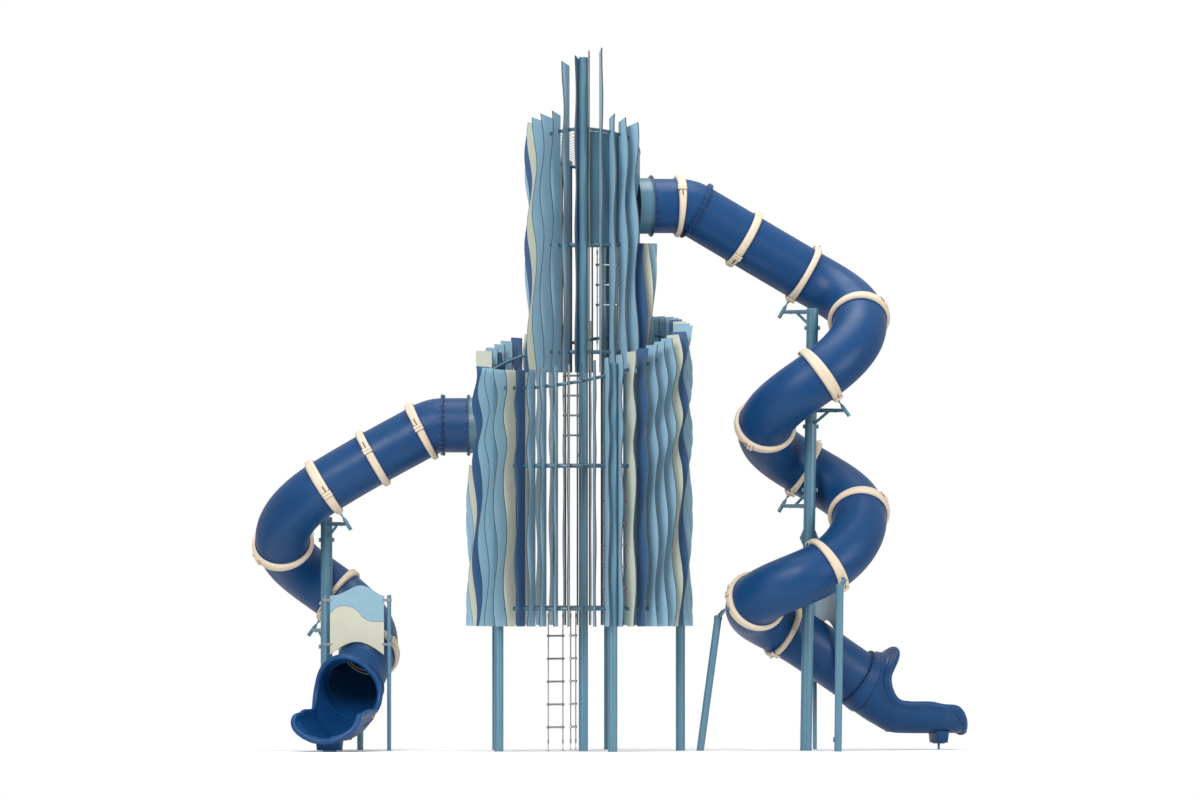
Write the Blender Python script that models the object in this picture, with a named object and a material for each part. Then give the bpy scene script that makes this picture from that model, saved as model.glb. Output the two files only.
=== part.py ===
"""Playground play structure: a two-stage round tower of upright wavy boards with
two enclosed spiral tube slides, their posts, panels, decks and rope ladders.

Metres, +Z up. The origin is the centre of the tall post's bottom face. The
viewer of the front elevation stands at -Y and +X runs to the right. Bearings
round the towers are in degrees from the front (-Y), growing towards +X.
Slide headings are in degrees, anticlockwise from +X seen from above.
"""

import math
from collections import namedtuple

import bmesh
import bpy
from mathutils import Matrix, Vector

# Fits and standard tubes
GAP = 0.0003
POST_SIDES = 16
RAIL_TUBE = 0.062
RAIL_SIDES = 4
RING_TUBE = 0.050
RING_SIDES = 6
ARM_TUBE = 0.050
STRUT_TUBE = 0.034
BRACE_TUBE = 0.036

# Boards
FIN_THICKNESS = 0.019
FIN_WAVE_HEIGHT = 0.036
FIN_WAVE_STEP = 0.33
FIN_INSET = 0.008
Wave = namedtuple("Wave", "length lag start")

# Posts
POST_OD = 0.133
MAIN_POST_OD = 0.168
PROP_POST_OD = 0.108
REAR_POST_OD = 0.090
PANEL_POST_OD = 0.060

# Lower tower
LOWER_CENTRE = Vector((-0.056, 0.452, 0.0))
LOWER_RING = 1.354
LOWER_FIN_TIP = 1.580
LOWER_FIN_COUNT = 50
LOWER_WAVE = Wave(0.96, 12.0, 135.0)
LOWER_FIN_BOTTOM = 1.778
LOWER_SHORT_FIN_TOP = 4.070
LOWER_SHORT_FINS = (-107.0, -77.0)
LOWER_TOP_PLANE = (5.548, 0.1874, 0.2141)
LOWER_FIN_RISE = 0.266
LOWER_POST_RISE = 0.180
LOWER_POST_BEARINGS = (19.2, 91.2, 163.2, 235.2, 307.2)
BACK_POST = 3
BACK_POST_TOP = 8.350

# Upper tower
UPPER_RING = 0.705
UPPER_FIN_TIP = 0.912
UPPER_FIN_COUNT = 30
UPPER_WAVE = Wave(1.62, 7.0, 73.0)
UPPER_FIN_BOTTOM = 5.388
UPPER_SHORT_FIN_TOP = 7.230
UPPER_SHORT_FINS = (58.0, 143.0)
UPPER_FIN_PLANE = (8.767, -0.13, -0.523)
UPPER_TOP_PLANE = (8.573, -0.07, -0.41)
CROWN_FIN_TOPS = {-25.6: 9.82, -13.6: 9.90, -1.6: 9.97, 10.4: 10.01}
TALL_POST_BEARING = -7.6
TALL_POST_TOP = 9.880
ARM_BEARING = 159.8
ARM_OD = 0.032

# Decks and rope ladders
FLOORS = (2.030, 4.060, 5.680, 7.205)
DECK_THICKNESS = 0.036
HATCH = 0.420
HATCH_OFFSET = 0.250
LADDER_WIDTH = 0.323
LADDER_ROPE = 0.022
LADDER_RUNG = 0.034
LADDER_KNOB = 0.030
Ladder = namedtuple("Ladder", "name x y turn side foot head first_rung step rungs")
LADDERS = (
    Ladder("ladder_ground_left", -0.396, 0.300, 50.0, 1, None, 0, 0.335, 0.325, 5),
    Ladder("ladder_ground_right", -0.145, 0.950, 77.0, -1, None, 0, 0.335, 0.325, 5),
    Ladder("ladder_first_floor", 0.451, 0.250, 0.0, 1, 0, 1, 2.316, 0.308, 5),
    Ladder("ladder_second_floor", -0.175, 0.720, 54.0, -1, 1, 2, 4.493, 0.283, 4),
    Ladder("ladder_top_floor", 0.344, 0.400, 25.0, 1, 2, 3, 6.351, 0.285, 3),
)

# Entry walls: sheet bent round inside the boards, with a collar for the slide
WALL_THICKNESS = 0.012
WALL_RING_GAP = 0.004
UPPER_WALL = (-7.6, 184.4)
LOWER_WALL = (-117.6, -67.2)
COLLAR_OD = 0.797

# Tube slides
TUBE_OD = 0.777
TUBE_WALL = 0.012
TUBE_SIDES = 16
CLAMP_OD = 0.910
CLAMP_WIDTH = 0.118
CLAMP_EDGE = 0.024
FLANGE_OD = 0.880
FLANGE_WIDTH = 0.030
RIGHT_HELIX = 0.678
LEFT_HELIX = 0.630
TURN_STEP = 30.0
SLOPE_STEP = 0.2

# One length of slide: plan length, clockwise turn, drop, slope at its end, the
# joint at its end, and whether a new node starts with it
Run = namedtuple("Run", "length turn drop end_slope joint starts_node")


def arc(radius, turn):
    return radius * math.radians(turn)


RIGHT_START = 0.862
RIGHT_HEADING = 9.5
RIGHT_LEVEL = 7.764
RIGHT_RUNS = (
    Run(0.405, 0.0, 0.000, 0.000, "clamp", True),
    Run(0.260, 0.0, 0.070, 0.583, "flange", False),
    Run(0.689, 0.0, 0.402, 0.583, "clamp", False),
    Run(0.870, 0.0, 0.504, 0.584, "clamp", True),
    Run(arc(RIGHT_HELIX, 90.0), 90.0, 0.631, 0.672, "clamp", True),
    Run(arc(RIGHT_HELIX, 90.0), 90.0, 0.804, 0.713, "clamp", True),
    Run(arc(RIGHT_HELIX, 90.0), 90.0, 0.716, 0.627, "clamp", True),
    Run(arc(RIGHT_HELIX, 90.0), 90.0, 0.620, 0.590, "clamp", True),
    Run(arc(RIGHT_HELIX, 90.0), 90.0, 0.636, 0.687, "clamp", True),
    Run(arc(RIGHT_HELIX, 81.5), 81.5, 0.749, 0.600, "clamp", True),
    Run(0.178, 0.0, 0.090, 0.440, "", True),
    Run(arc(RIGHT_HELIX, 86.0), 86.0, 0.410, 0.395, "clamp", False),
    Run(arc(RIGHT_HELIX, 91.5), 91.5, 0.402, 0.490, "clamp", True),
    Run(1.130, 0.0, 0.698, 0.618, "exit", True),
)
LEFT_START = 1.570
LEFT_HEADING = 177.6
LEFT_LEVEL = 4.636
LEFT_RUNS = (
    Run(0.376, 0.0, 0.000, 0.000, "flange", True),
    Run(0.300, 0.0, 0.089, 0.560, "clamp", False),
    Run(0.699, 0.0, 0.382, 0.565, "clamp", False),
    Run(0.696, 0.0, 0.409, 0.620, "clamp", True),
    Run(arc(LEFT_HELIX, 97.6), 97.6, 0.822, 0.730, "clamp", True),
    Run(arc(LEFT_HELIX, 93.7), 93.7, 0.731, 0.740, "clamp", True),
    Run(arc(LEFT_HELIX, 92.0), 92.0, 0.798, 0.680, "clamp", True),
    Run(0.760, 0.0, 0.465, 0.618, "exit", True),
)

# Exit chute, measured from the centre of the slide's last flange. A rib is an
# oval section: its centre ahead and up, its half height and width, its lean and
# the thickness of its wall
EXIT_SIDES = 16
EXIT_SLOPE = 0.618
EXIT_LEAN = math.degrees(math.atan(EXIT_SLOPE))
Rib = namedtuple("Rib", "ahead up half_height half_width lean wall")
EXIT_RIBS = (
    Rib(0.000, 0.000, 0.440, 0.440, EXIT_LEAN, 0.0635),
    Rib(0.026, -0.016, 0.440, 0.440, EXIT_LEAN, 0.0600),
    Rib(0.100, -0.050, 0.465, 0.440, 25.5, 0.0400),
    Rib(0.326, -0.138, 0.509, 0.470, 10.6, 0.0280),
    Rib(0.460, -0.165, 0.572, 0.490, 2.5, 0.0280),
    Rib(0.545, -0.172, 0.605, 0.510, 0.0, 0.0280),
    Rib(0.630, -0.200, 0.575, 0.495, 0.0, 0.0280),
    Rib(1.080, -0.300, 0.480, 0.475, 0.0, 0.0280),
    Rib(1.400, -0.300, 0.475, 0.475, 0.0, 0.0280),
    Rib(1.540, -0.310, 0.515, 0.500, 0.0, 0.0350),
    Rib(1.600, -0.320, 0.530, 0.500, 0.0, 0.0350),
)
EXIT_MOUTH = (
    (0.612, 1.000), (0.602, 0.400), (0.575, 0.348), (0.440, 0.157), (0.356, 0.021),
    (0.352, -0.088), (0.392, -0.224), (0.500, -0.338), (0.930, -0.338), (1.100, -0.375),
    (1.340, -0.387), (1.430, -0.440), (1.510, -0.530), (1.565, -0.640), (2.000, -0.640),
    (2.000, 1.000),
)
EXIT_CUT_WIDTH = 1.600
EXIT_FOOT_AHEAD = (1.150, 1.350)
EXIT_FOOT_WIDTH = 0.370
EXIT_FOOT_SINK = 0.018

# Slide supports
RIGHT_POST = (Vector((3.172, 0.640, 0.0)), Vector((3.267, 0.640, 6.307)))
FRONT_POST = (Vector((3.620, -0.500, 0.0)), Vector((3.647, -0.500, 2.388)))
LEANING_POST = (Vector((1.664, 0.420, 0.0)), Vector((1.924, 0.360, 1.932)))
LEFT_POST = (Vector((-3.668, 1.240, 0.0)), Vector((-3.668, 1.240, 3.330)))
REAR_POST = (Vector((-3.188, 1.360, 0.0)), Vector((-3.188, 1.360, 0.950)))
RIGHT_ARM_JOINTS = (3, 5, 7)
LEFT_ARM_JOINTS = (3, 5)
FRONT_POST_JOINT = 9
LEANING_POST_JOINT = 11
REAR_POST_JOINT = 6
SADDLE_DROP = 0.165
SADDLE_BAR = (0.055, 0.265)
HIGH_BRACE_JOINTS = (7,)
BRACE_REACH = 0.55
BRACE_DROP = 0.230
PROP_REACH = 0.070

# Slide panels, with heights above the axis of the tube that passes under them
PANEL_WIDTH = 0.800
PANEL_THICKNESS = 0.019
PANEL_FOOT = 0.330
PANEL_ARCH = 0.515
PANEL_TOP = 1.175
PANEL_CREST = 0.145
PANEL_POST_HEAD = 1.185
PANEL_POST_OUT = 0.475
PANEL_LUG = 0.022
PANEL_LUG_HEIGHTS = (0.480, 1.110)
RIGHT_PANEL_BACK = 0.466
LEFT_PANEL_BACK = 0.155


# Materials

def make_material(name, colour, roughness, metallic=0.0):
    material = bpy.data.materials.new(name)
    material.use_nodes = True
    shader = material.node_tree.nodes["Principled BSDF"]
    shader.inputs["Base Color"].default_value = (*colour, 1.0)
    shader.inputs["Roughness"].default_value = roughness
    shader.inputs["Metallic"].default_value = metallic
    return material


def teal_steel(name):
    return make_material(f"{name}_paint", (0.10, 0.24, 0.33), 0.40)


def blue_plastic(name):
    return make_material(f"{name}_plastic", (0.012, 0.070, 0.200), 0.42)


def painted_board(name):
    return make_material(f"{name}_board", (0.20, 0.37, 0.51), 0.45)


def deck_sheet(name):
    return make_material(f"{name}_sheet", (0.13, 0.17, 0.20), 0.70)


def ladder_rope(name):
    return make_material(f"{name}_rope", (0.16, 0.13, 0.11), 0.85)


def panel_sheet(name):
    return make_material(f"{name}_sheet", (0.62, 0.60, 0.47), 0.45)


# Building solids

def clear_scene():
    for item in list(bpy.data.objects):
        bpy.data.objects.remove(item, do_unlink=True)


def link_mesh(name, bm, material=None, smooth=False):
    bmesh.ops.recalc_face_normals(bm, faces=bm.faces)
    mesh = bpy.data.meshes.new(name)
    bm.to_mesh(mesh)
    bm.free()
    if smooth:
        mesh.shade_smooth()
        mesh.set_sharp_from_angle(angle=math.radians(40.0))
    if material:
        mesh.materials.append(material)
    item = bpy.data.objects.new(name, mesh)
    bpy.context.scene.collection.objects.link(item)
    return item


def ring_faces(bm, first, second):
    count = len(first)
    for i in range(count):
        j = (i + 1) % count
        bm.faces.new((first[i], first[j], second[j], second[i]))


def loft(name, rings, material=None, closed=False, smooth=True):
    """A solid skinned over rings of points, capped unless it closes on itself."""
    bm = bmesh.new()
    verts = [[bm.verts.new(point) for point in ring] for ring in rings]
    for first, second in zip(verts, verts[1:]):
        ring_faces(bm, first, second)
    if closed:
        ring_faces(bm, verts[-1], verts[0])
    else:
        bm.faces.new(verts[0])
        bm.faces.new(list(reversed(verts[-1])))
    return link_mesh(name, bm, material, smooth)


def shell(name, outer, inner, material=None):
    """A tube wall between outer rings and inner rings, open at both ends."""
    bm = bmesh.new()
    outside = [[bm.verts.new(point) for point in ring] for ring in outer]
    inside = [[bm.verts.new(point) for point in ring] for ring in inner]
    for skin in (outside, inside):
        for first, second in zip(skin, skin[1:]):
            ring_faces(bm, first, second)
    ring_faces(bm, outside[0], inside[0])
    ring_faces(bm, outside[-1], inside[-1])
    return link_mesh(name, bm, material, smooth=True)


def prism(name, outline, thickness, matrix, material=None):
    """A flat board: an outline in local XZ with its thickness along local Y."""
    rings = []
    for side in (-thickness / 2, thickness / 2):
        rings.append([matrix @ Vector((x, side, z)) for x, z in outline])
    return loft(name, rings, material, smooth=False)


def box(name, size, matrix, material=None):
    x, y, z = (value / 2 for value in size)
    outline = ((-x, -z), (x, -z), (x, z), (-x, z))
    return prism(name, outline, 2 * y, matrix, material)


def circle(centre, first, second, radius, sides):
    """Points round a circle, turned so that flats face the two directions."""
    points = []
    for i in range(sides):
        angle = 2 * math.pi * (i + 0.5) / sides
        points.append(centre + (first * math.cos(angle) + second * math.sin(angle)) * radius)
    return points


def bar(name, start, end, diameter, sides, material=None):
    """A round bar between two points, with square ends."""
    axis = (end - start).normalized()
    level = axis.cross(Vector((0.0, 0.0, 1.0)))
    if level.length < 0.05:
        level = Vector((1.0, 0.0, 0.0))
    level.normalize()
    up = level.cross(axis)
    rings = [circle(place, level, up, diameter / 2, sides) for place in (start, end)]
    return loft(name, rings, material, smooth=sides > 6)


def post(name, foot, head, diameter, bearing=0.0, material=None, sides=POST_SIDES):
    """A post with level ends, also where it leans. A flat side faces its bearing."""
    first = outward(bearing)
    second = outward(bearing + 90.0)
    rings = [circle(place, first, second, diameter / 2, sides) for place in (foot, head)]
    return loft(name, rings, material)


def tube_along(name, points, diameter, sides, closed, material=None):
    """A flat-sided tube along points, with one section at each point."""
    rings = []
    count = len(points)
    for i, place in enumerate(points):
        before = points[i - 1] if closed or i else place
        after = points[(i + 1) % count] if closed or i < count - 1 else place
        along = (after - before).normalized()
        across = along.cross(Vector((0.0, 0.0, 1.0))).normalized()
        rings.append(circle(place, across, across.cross(along), diameter / 2, sides))
    return loft(name, rings, material, closed)


def combine(target, tools, operation):
    """Joins or cuts a solid with others, and keeps the result as its mesh."""
    group = bpy.data.collections.new("operands")
    bpy.context.scene.collection.children.link(group)
    for tool in tools:
        group.objects.link(tool)
    step = target.modifiers.new("combine", "BOOLEAN")
    step.operation = operation
    step.operand_type = "COLLECTION"
    step.collection = group
    step.solver = "EXACT"
    bpy.context.view_layer.update()
    depsgraph = bpy.context.evaluated_depsgraph_get()
    mesh = bpy.data.meshes.new_from_object(target.evaluated_get(depsgraph))
    target.modifiers.clear()
    target.data = mesh
    for tool in tools:
        bpy.data.objects.remove(tool, do_unlink=True)
    bpy.data.collections.remove(group)
    return target


def tidy(item, material, smooth=False):
    """Merges what joining left double or split in one plane."""
    bm = bmesh.new()
    bm.from_mesh(item.data)
    bmesh.ops.remove_doubles(bm, verts=bm.verts, dist=0.00002)
    bmesh.ops.dissolve_limit(
        bm, angle_limit=math.radians(0.2), verts=bm.verts, edges=bm.edges)
    bmesh.ops.triangulate(bm, faces=bm.faces)
    bm.to_mesh(item.data)
    bm.free()
    if smooth:
        item.data.shade_smooth()
        item.data.set_sharp_from_angle(angle=math.radians(40.0))
    item.data.materials.clear()
    item.data.materials.append(material)
    return item


# Places round the towers

def outward(bearing):
    angle = math.radians(bearing)
    return Vector((math.sin(angle), -math.cos(angle), 0.0))


def flat_half(diameter, sides):
    """Distance from a flat-sided bar's axis to the middle of a side."""
    return diameter / 2 * math.cos(math.pi / sides)


def plane_height(plane, offset):
    """Height of a tilted plane: level at the centre, then its slopes on X and Y."""
    level, slope_x, slope_y = plane
    return level + slope_x * offset.x + slope_y * offset.y


def post_circle(rail_radius, step):
    """Where a post stands so that its flat side meets the rail's outer side."""
    rail_side = (rail_radius + RAIL_HALF) * math.cos(math.radians(step / 2))
    return rail_side + flat_half(POST_OD, POST_SIDES) + GAP


def within(bearing, limits):
    turned = (bearing - limits[0]) % 360.0
    return turned < limits[1] - limits[0]


RAIL_HALF = flat_half(RAIL_TUBE, RAIL_SIDES)
LOWER_STEP = 360.0 / LOWER_FIN_COUNT
UPPER_STEP = 360.0 / UPPER_FIN_COUNT
LOWER_POST_CIRCLE = post_circle(LOWER_RING, LOWER_STEP)
TALL_POST_CIRCLE = post_circle(UPPER_RING, UPPER_STEP)
UPPER_CENTRE = outward(TALL_POST_BEARING) * -TALL_POST_CIRCLE
BACK_POST_BEARING = LOWER_POST_BEARINGS[BACK_POST - 1]
BACK_POST_PLACE = LOWER_CENTRE + outward(BACK_POST_BEARING) * LOWER_POST_CIRCLE


def post_clearance(place, bearing, top):
    """Room for a post: the post itself with the standard gap all round."""
    head = place.copy()
    head.z = top
    return post("clearance", place, head, POST_OD + 2 * GAP, bearing)


# Posts of the towers

def build_tower_posts():
    head = Vector((0.0, 0.0, TALL_POST_TOP))
    post("tall_post", Vector(), head, POST_OD, TALL_POST_BEARING, teal_steel("tall_post"))
    for number, bearing in enumerate(LOWER_POST_BEARINGS, 1):
        offset = outward(bearing) * LOWER_POST_CIRCLE
        foot = LOWER_CENTRE + offset
        head = foot.copy()
        head.z = plane_height(LOWER_TOP_PLANE, offset) + LOWER_POST_RISE
        if number == BACK_POST:
            head.z = BACK_POST_TOP
        name = f"lower_post_{number}"
        post(name, foot, head, POST_OD, bearing, teal_steel(name))


# Boards

def rail_points(centre, radius, level, limits, step):
    """A level rail between two posts, with a point at each board it carries."""
    start, stop = limits
    middle = radius * math.cos(math.radians(step / 2))
    end_gap = math.degrees(GAP / 2 / radius)
    places = [outward(start + end_gap) * middle]
    for i in range(round((stop - start) / step)):
        places.append(outward(start + step * (i + 0.5)) * radius)
    places.append(outward(stop - end_gap) * middle)
    lift = Vector((0.0, 0.0, level))
    return [centre + place + lift for place in places]


def wave(pattern, bearing, height):
    """How far a board's wavy outer edge leaves its mean line."""
    turn = 2 * math.pi * height / pattern.length
    quick = 0.7 * math.sin(turn + math.radians(pattern.start - pattern.lag * bearing))
    slow = 0.3 * math.sin(0.5 * turn + math.radians(3.0 * bearing))
    return FIN_WAVE_HEIGHT * (quick + slow)


def fin(centre, pattern, bearing, inner, tip, bottom, top):
    """One radial board: straight inside, wavy outside, square ends."""
    steps = max(4, round((top - bottom) / FIN_WAVE_STEP))
    outline = [(inner, bottom)]
    for i in range(steps + 1):
        height = bottom + (top - bottom) * i / steps
        outline.append((tip + wave(pattern, bearing, height), height))
    outline.append((inner, top))
    turn = Matrix.Rotation(math.radians(bearing - 90.0), 4, "Z")
    return prism("fin", outline, FIN_THICKNESS, Matrix.Translation(centre) @ turn)


def lower_fin_top(bearing):
    if within(bearing, LOWER_SHORT_FINS):
        return LOWER_SHORT_FIN_TOP
    return plane_height(LOWER_TOP_PLANE, outward(bearing) * LOWER_RING) + LOWER_FIN_RISE


def upper_fin_top(bearing):
    if within(bearing, UPPER_SHORT_FINS):
        return UPPER_SHORT_FIN_TOP
    for crown, top in CROWN_FIN_TOPS.items():
        if within(bearing, (crown - 1.0, crown + 1.0)):
            return top
    return plane_height(UPPER_FIN_PLANE, outward(bearing) * UPPER_RING)


def build_fin_group(name, centre, pattern, radius, tip, limits, step, bottom, top_of, levels,
                    extras=()):
    """Boards between two posts, joined by the two level rails that carry them."""
    solids = list(extras)
    for i in range(round((limits[1] - limits[0]) / step)):
        bearing = limits[0] + step * (i + 0.5)
        solids.append(fin(centre, pattern, bearing, radius + FIN_INSET, tip, bottom,
                          top_of(bearing)))
    rails = []
    for level in levels:
        points = rail_points(centre, radius, level, limits, step)
        rails.append(tube_along(name, points, RAIL_TUBE, RAIL_SIDES, False))
    group = combine(rails[0], solids + rails[1:], "UNION")
    group.name = name
    return group


def build_lower_fins():
    for number, start in enumerate(LOWER_POST_BEARINGS, 1):
        name = f"lower_fins_{number}"
        group = build_fin_group(
            name, LOWER_CENTRE, LOWER_WAVE, LOWER_RING, LOWER_FIN_TIP, (start, start + 72.0),
            LOWER_STEP, LOWER_FIN_BOTTOM, lower_fin_top, FLOORS[:2])
        tidy(group, painted_board(name))


def back_arm(level):
    """An arm from the upper tower out to the tall back post."""
    start = UPPER_CENTRE + outward(ARM_BEARING) * UPPER_RING
    end = BACK_POST_PLACE.copy()
    start.z = level
    end.z = level
    return bar("arm", start, end, ARM_OD, RING_SIDES)


def build_upper_fins():
    for i in range(5):
        name = f"upper_fins_{i + 1}"
        start = TALL_POST_BEARING + 72.0 * i
        limits = (start, start + 72.0)
        arms = []
        if within(ARM_BEARING, limits):
            arms = [back_arm(level) for level in FLOORS[2:]]
        group = build_fin_group(
            name, UPPER_CENTRE, UPPER_WAVE, UPPER_RING, UPPER_FIN_TIP, limits, UPPER_STEP,
            UPPER_FIN_BOTTOM, upper_fin_top, FLOORS[2:], arms)
        if arms:
            room = post_clearance(BACK_POST_PLACE, BACK_POST_BEARING, BACK_POST_TOP)
            combine(group, [room], "DIFFERENCE")
        tidy(group, painted_board(name))


# Tilted top rings

def ring_radius(rail_radius):
    """The tilted ring runs just inside the boards' inner edges."""
    return rail_radius + FIN_INSET - RING_TUBE / 2 - 2 * GAP


def ring_place(centre, plane, radius, bearing):
    offset = outward(bearing) * radius
    return centre + offset + Vector((0.0, 0.0, plane_height(plane, offset)))


def build_lower_ring():
    name = "lower_top_ring"
    radius = ring_radius(LOWER_RING)
    points = [ring_place(LOWER_CENTRE, LOWER_TOP_PLANE, radius, 15.0 * i) for i in range(24)]
    ring = tube_along(name, points, RING_TUBE, RING_SIDES, True)
    lugs = []
    rooms = []
    for bearing in LOWER_POST_BEARINGS:
        start = ring_place(LOWER_CENTRE, LOWER_TOP_PLANE, radius, bearing)
        foot = LOWER_CENTRE + outward(bearing) * LOWER_POST_CIRCLE
        end = foot.copy()
        end.z = start.z
        lugs.append(bar("lug", start, end, ARM_TUBE, RING_SIDES))
        rooms.append(post_clearance(foot, bearing, BACK_POST_TOP))
    combine(ring, lugs, "UNION")
    combine(ring, rooms, "DIFFERENCE")
    tidy(ring, teal_steel(name))


def build_upper_ring():
    name = "upper_top_ring"
    radius = ring_radius(UPPER_RING)
    points = [ring_place(UPPER_CENTRE, UPPER_TOP_PLANE, radius, 15.0 * i) for i in range(24)]
    ring = tube_along(name, points, RING_TUBE, RING_SIDES, True)
    front = ring_place(UPPER_CENTRE, UPPER_TOP_PLANE, radius, TALL_POST_BEARING)
    lug = bar("lug", front, Vector((0.0, 0.0, front.z)), ARM_TUBE, RING_SIDES)
    back = ring_place(UPPER_CENTRE, UPPER_TOP_PLANE, radius, ARM_BEARING)
    combine(ring, [lug, back_arm(back.z)], "UNION")
    rooms = [
        post_clearance(Vector(), TALL_POST_BEARING, TALL_POST_TOP),
        post_clearance(BACK_POST_PLACE, BACK_POST_BEARING, BACK_POST_TOP + 0.1),
    ]
    combine(ring, rooms, "DIFFERENCE")
    tidy(ring, teal_steel(name))


# Decks and ladders

def hatch_box(ladder, level):
    """The opening beside a ladder's head."""
    turn = Matrix.Rotation(math.radians(ladder.turn), 4, "Z")
    place = Matrix.Translation((ladder.x, ladder.y, level))
    shift = Matrix.Translation((0.0, ladder.side * HATCH_OFFSET, 0.0))
    return box("hatch", (HATCH, HATCH, 4 * DECK_THICKNESS), place @ turn @ shift)


def build_decks():
    towers = (
        (LOWER_CENTRE, LOWER_RING, LOWER_FIN_COUNT, LOWER_POST_BEARINGS[0]),
        (LOWER_CENTRE, LOWER_RING, LOWER_FIN_COUNT, LOWER_POST_BEARINGS[0]),
        (UPPER_CENTRE, UPPER_RING, UPPER_FIN_COUNT, TALL_POST_BEARING),
        (UPPER_CENTRE, UPPER_RING, UPPER_FIN_COUNT, TALL_POST_BEARING),
    )
    for floor, (centre, ring, count, start) in enumerate(towers):
        name = f"deck_{floor + 1}"
        step = 360.0 / count
        radius = ring - RAIL_HALF - GAP / math.cos(math.radians(step / 2))
        rings = []
        for level in (-DECK_THICKNESS / 2, DECK_THICKNESS / 2):
            lift = centre + Vector((0.0, 0.0, FLOORS[floor] + level))
            rings.append([lift + outward(start + step * (i + 0.5)) * radius
                          for i in range(count)])
        deck = loft(name, rings, smooth=False)
        cuts = [hatch_box(ladder, FLOORS[floor]) for ladder in LADDERS if ladder.head == floor]
        if centre is LOWER_CENTRE:
            cuts.append(post_clearance(Vector(), TALL_POST_BEARING, TALL_POST_TOP))
        combine(deck, cuts, "DIFFERENCE")
        tidy(deck, deck_sheet(name))


def build_ladders():
    for ladder in LADDERS:
        along = Vector((math.cos(math.radians(ladder.turn)),
                        math.sin(math.radians(ladder.turn)), 0.0))
        place = Vector((ladder.x, ladder.y, 0.0))
        bottom = 0.0
        if ladder.foot is not None:
            bottom = FLOORS[ladder.foot] + DECK_THICKNESS / 2 + GAP
        top = FLOORS[ladder.head] - DECK_THICKNESS / 2 - GAP
        solids = []
        for side in (-0.5, 0.5):
            foot = place + along * (side * LADDER_WIDTH)
            ends = [Vector((foot.x, foot.y, level)) for level in (bottom, top)]
            solids.append(post(ladder.name, ends[0], ends[1], LADDER_ROPE, sides=4))
        reach = LADDER_WIDTH / 2 + LADDER_KNOB
        for rung in range(ladder.rungs):
            level = Vector((0.0, 0.0, ladder.first_rung + rung * ladder.step))
            start = place + level - along * reach
            end = place + level + along * reach
            solids.append(bar("rung", start, end, LADDER_RUNG, 4))
        item = combine(solids[0], solids[1:], "UNION")
        item.name = ladder.name
        tidy(item, ladder_rope(ladder.name))


# Slides

class Route:
    """The centreline of a slide, followed by plan distance from its first flange."""

    def __init__(self, centre, start, heading, level, runs):
        self.legs = []
        direction = Vector((math.cos(math.radians(heading)), math.sin(math.radians(heading))))
        place = centre.xy + direction * start
        distance = 0.0
        slope = 0.0
        for run in runs:
            self.legs.append((distance, run, place, heading, level, slope))
            place, heading = self.advance(place, heading, run, 1.0)
            distance += run.length
            level -= run.drop
            slope = run.end_slope
        self.joints = [leg[0] + leg[1].length for leg in self.legs]
        self.length = distance

    @staticmethod
    def advance(place, heading, run, fraction):
        """Plan position and heading part of the way along a run."""
        start = math.radians(heading)
        if not run.turn:
            step = Vector((math.cos(start), math.sin(start))) * run.length * fraction
            return place + step, heading
        end = start - math.radians(run.turn) * fraction
        radius = run.length / math.radians(run.turn)
        step = Vector((math.sin(start) - math.sin(end), math.cos(end) - math.cos(start)))
        return place + step * radius, math.degrees(end)

    def at(self, distance):
        """Position, heading in radians and downward slope in radians."""
        leg = [item for item in self.legs if item[0] <= distance + 1e-9 or item is self.legs[0]][-1]
        begin, run, place, heading, level, slope = leg
        part = (distance - begin) / run.length
        flat, turned = self.advance(place, heading, run, part)
        into = slope * run.length
        out = run.end_slope * run.length
        bend = 3 * run.drop - 2 * into - out
        curl = into + out - 2 * run.drop
        drop = into * part + bend * part ** 2 + curl * part ** 3
        steepness = (into + 2 * bend * part + 3 * curl * part ** 2) / run.length
        return Vector((flat.x, flat.y, level - drop)), math.radians(turned), math.atan(steepness)

    def axes(self, distance):
        """Centre, the level direction across the tube, up its side, and along it."""
        place, heading, slope = self.at(distance)
        across = Vector((-math.sin(heading), math.cos(heading), 0.0))
        up = Vector((math.sin(slope) * math.cos(heading),
                     math.sin(slope) * math.sin(heading), math.cos(slope)))
        along = Vector((math.cos(slope) * math.cos(heading),
                        math.cos(slope) * math.sin(heading), -math.sin(slope)))
        return place, across, up, along

    def ring(self, distance, radius):
        place, across, up, _ = self.axes(distance)
        return circle(place, across, up, radius, TUBE_SIDES)

    def clamp_room(self, joint):
        """Room for a clamp: the clamp itself with the standard gap all round."""
        half = CLAMP_WIDTH / 2
        flat = half - CLAMP_EDGE
        rings = [self.ring(self.joints[joint] + side, CLAMP_OD / 2 + 3 * GAP)
                 for side in (-half - GAP, -flat, flat, half + GAP)]
        return loft("clearance", rings)


RIGHT_ROUTE = Route(UPPER_CENTRE, RIGHT_START, RIGHT_HEADING, RIGHT_LEVEL, RIGHT_RUNS)
LEFT_ROUTE = Route(LOWER_CENTRE, LEFT_START, LEFT_HEADING, LEFT_LEVEL, LEFT_RUNS)


def plain_stations(begin, run, slope):
    """Distances of the sections that a run's own shape needs."""
    parts = max(1, math.ceil(run.turn / TURN_STEP),
                math.ceil(abs(run.end_slope - slope) / SLOPE_STEP))
    return [begin + run.length * i / parts for i in range(parts + 1)]


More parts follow.
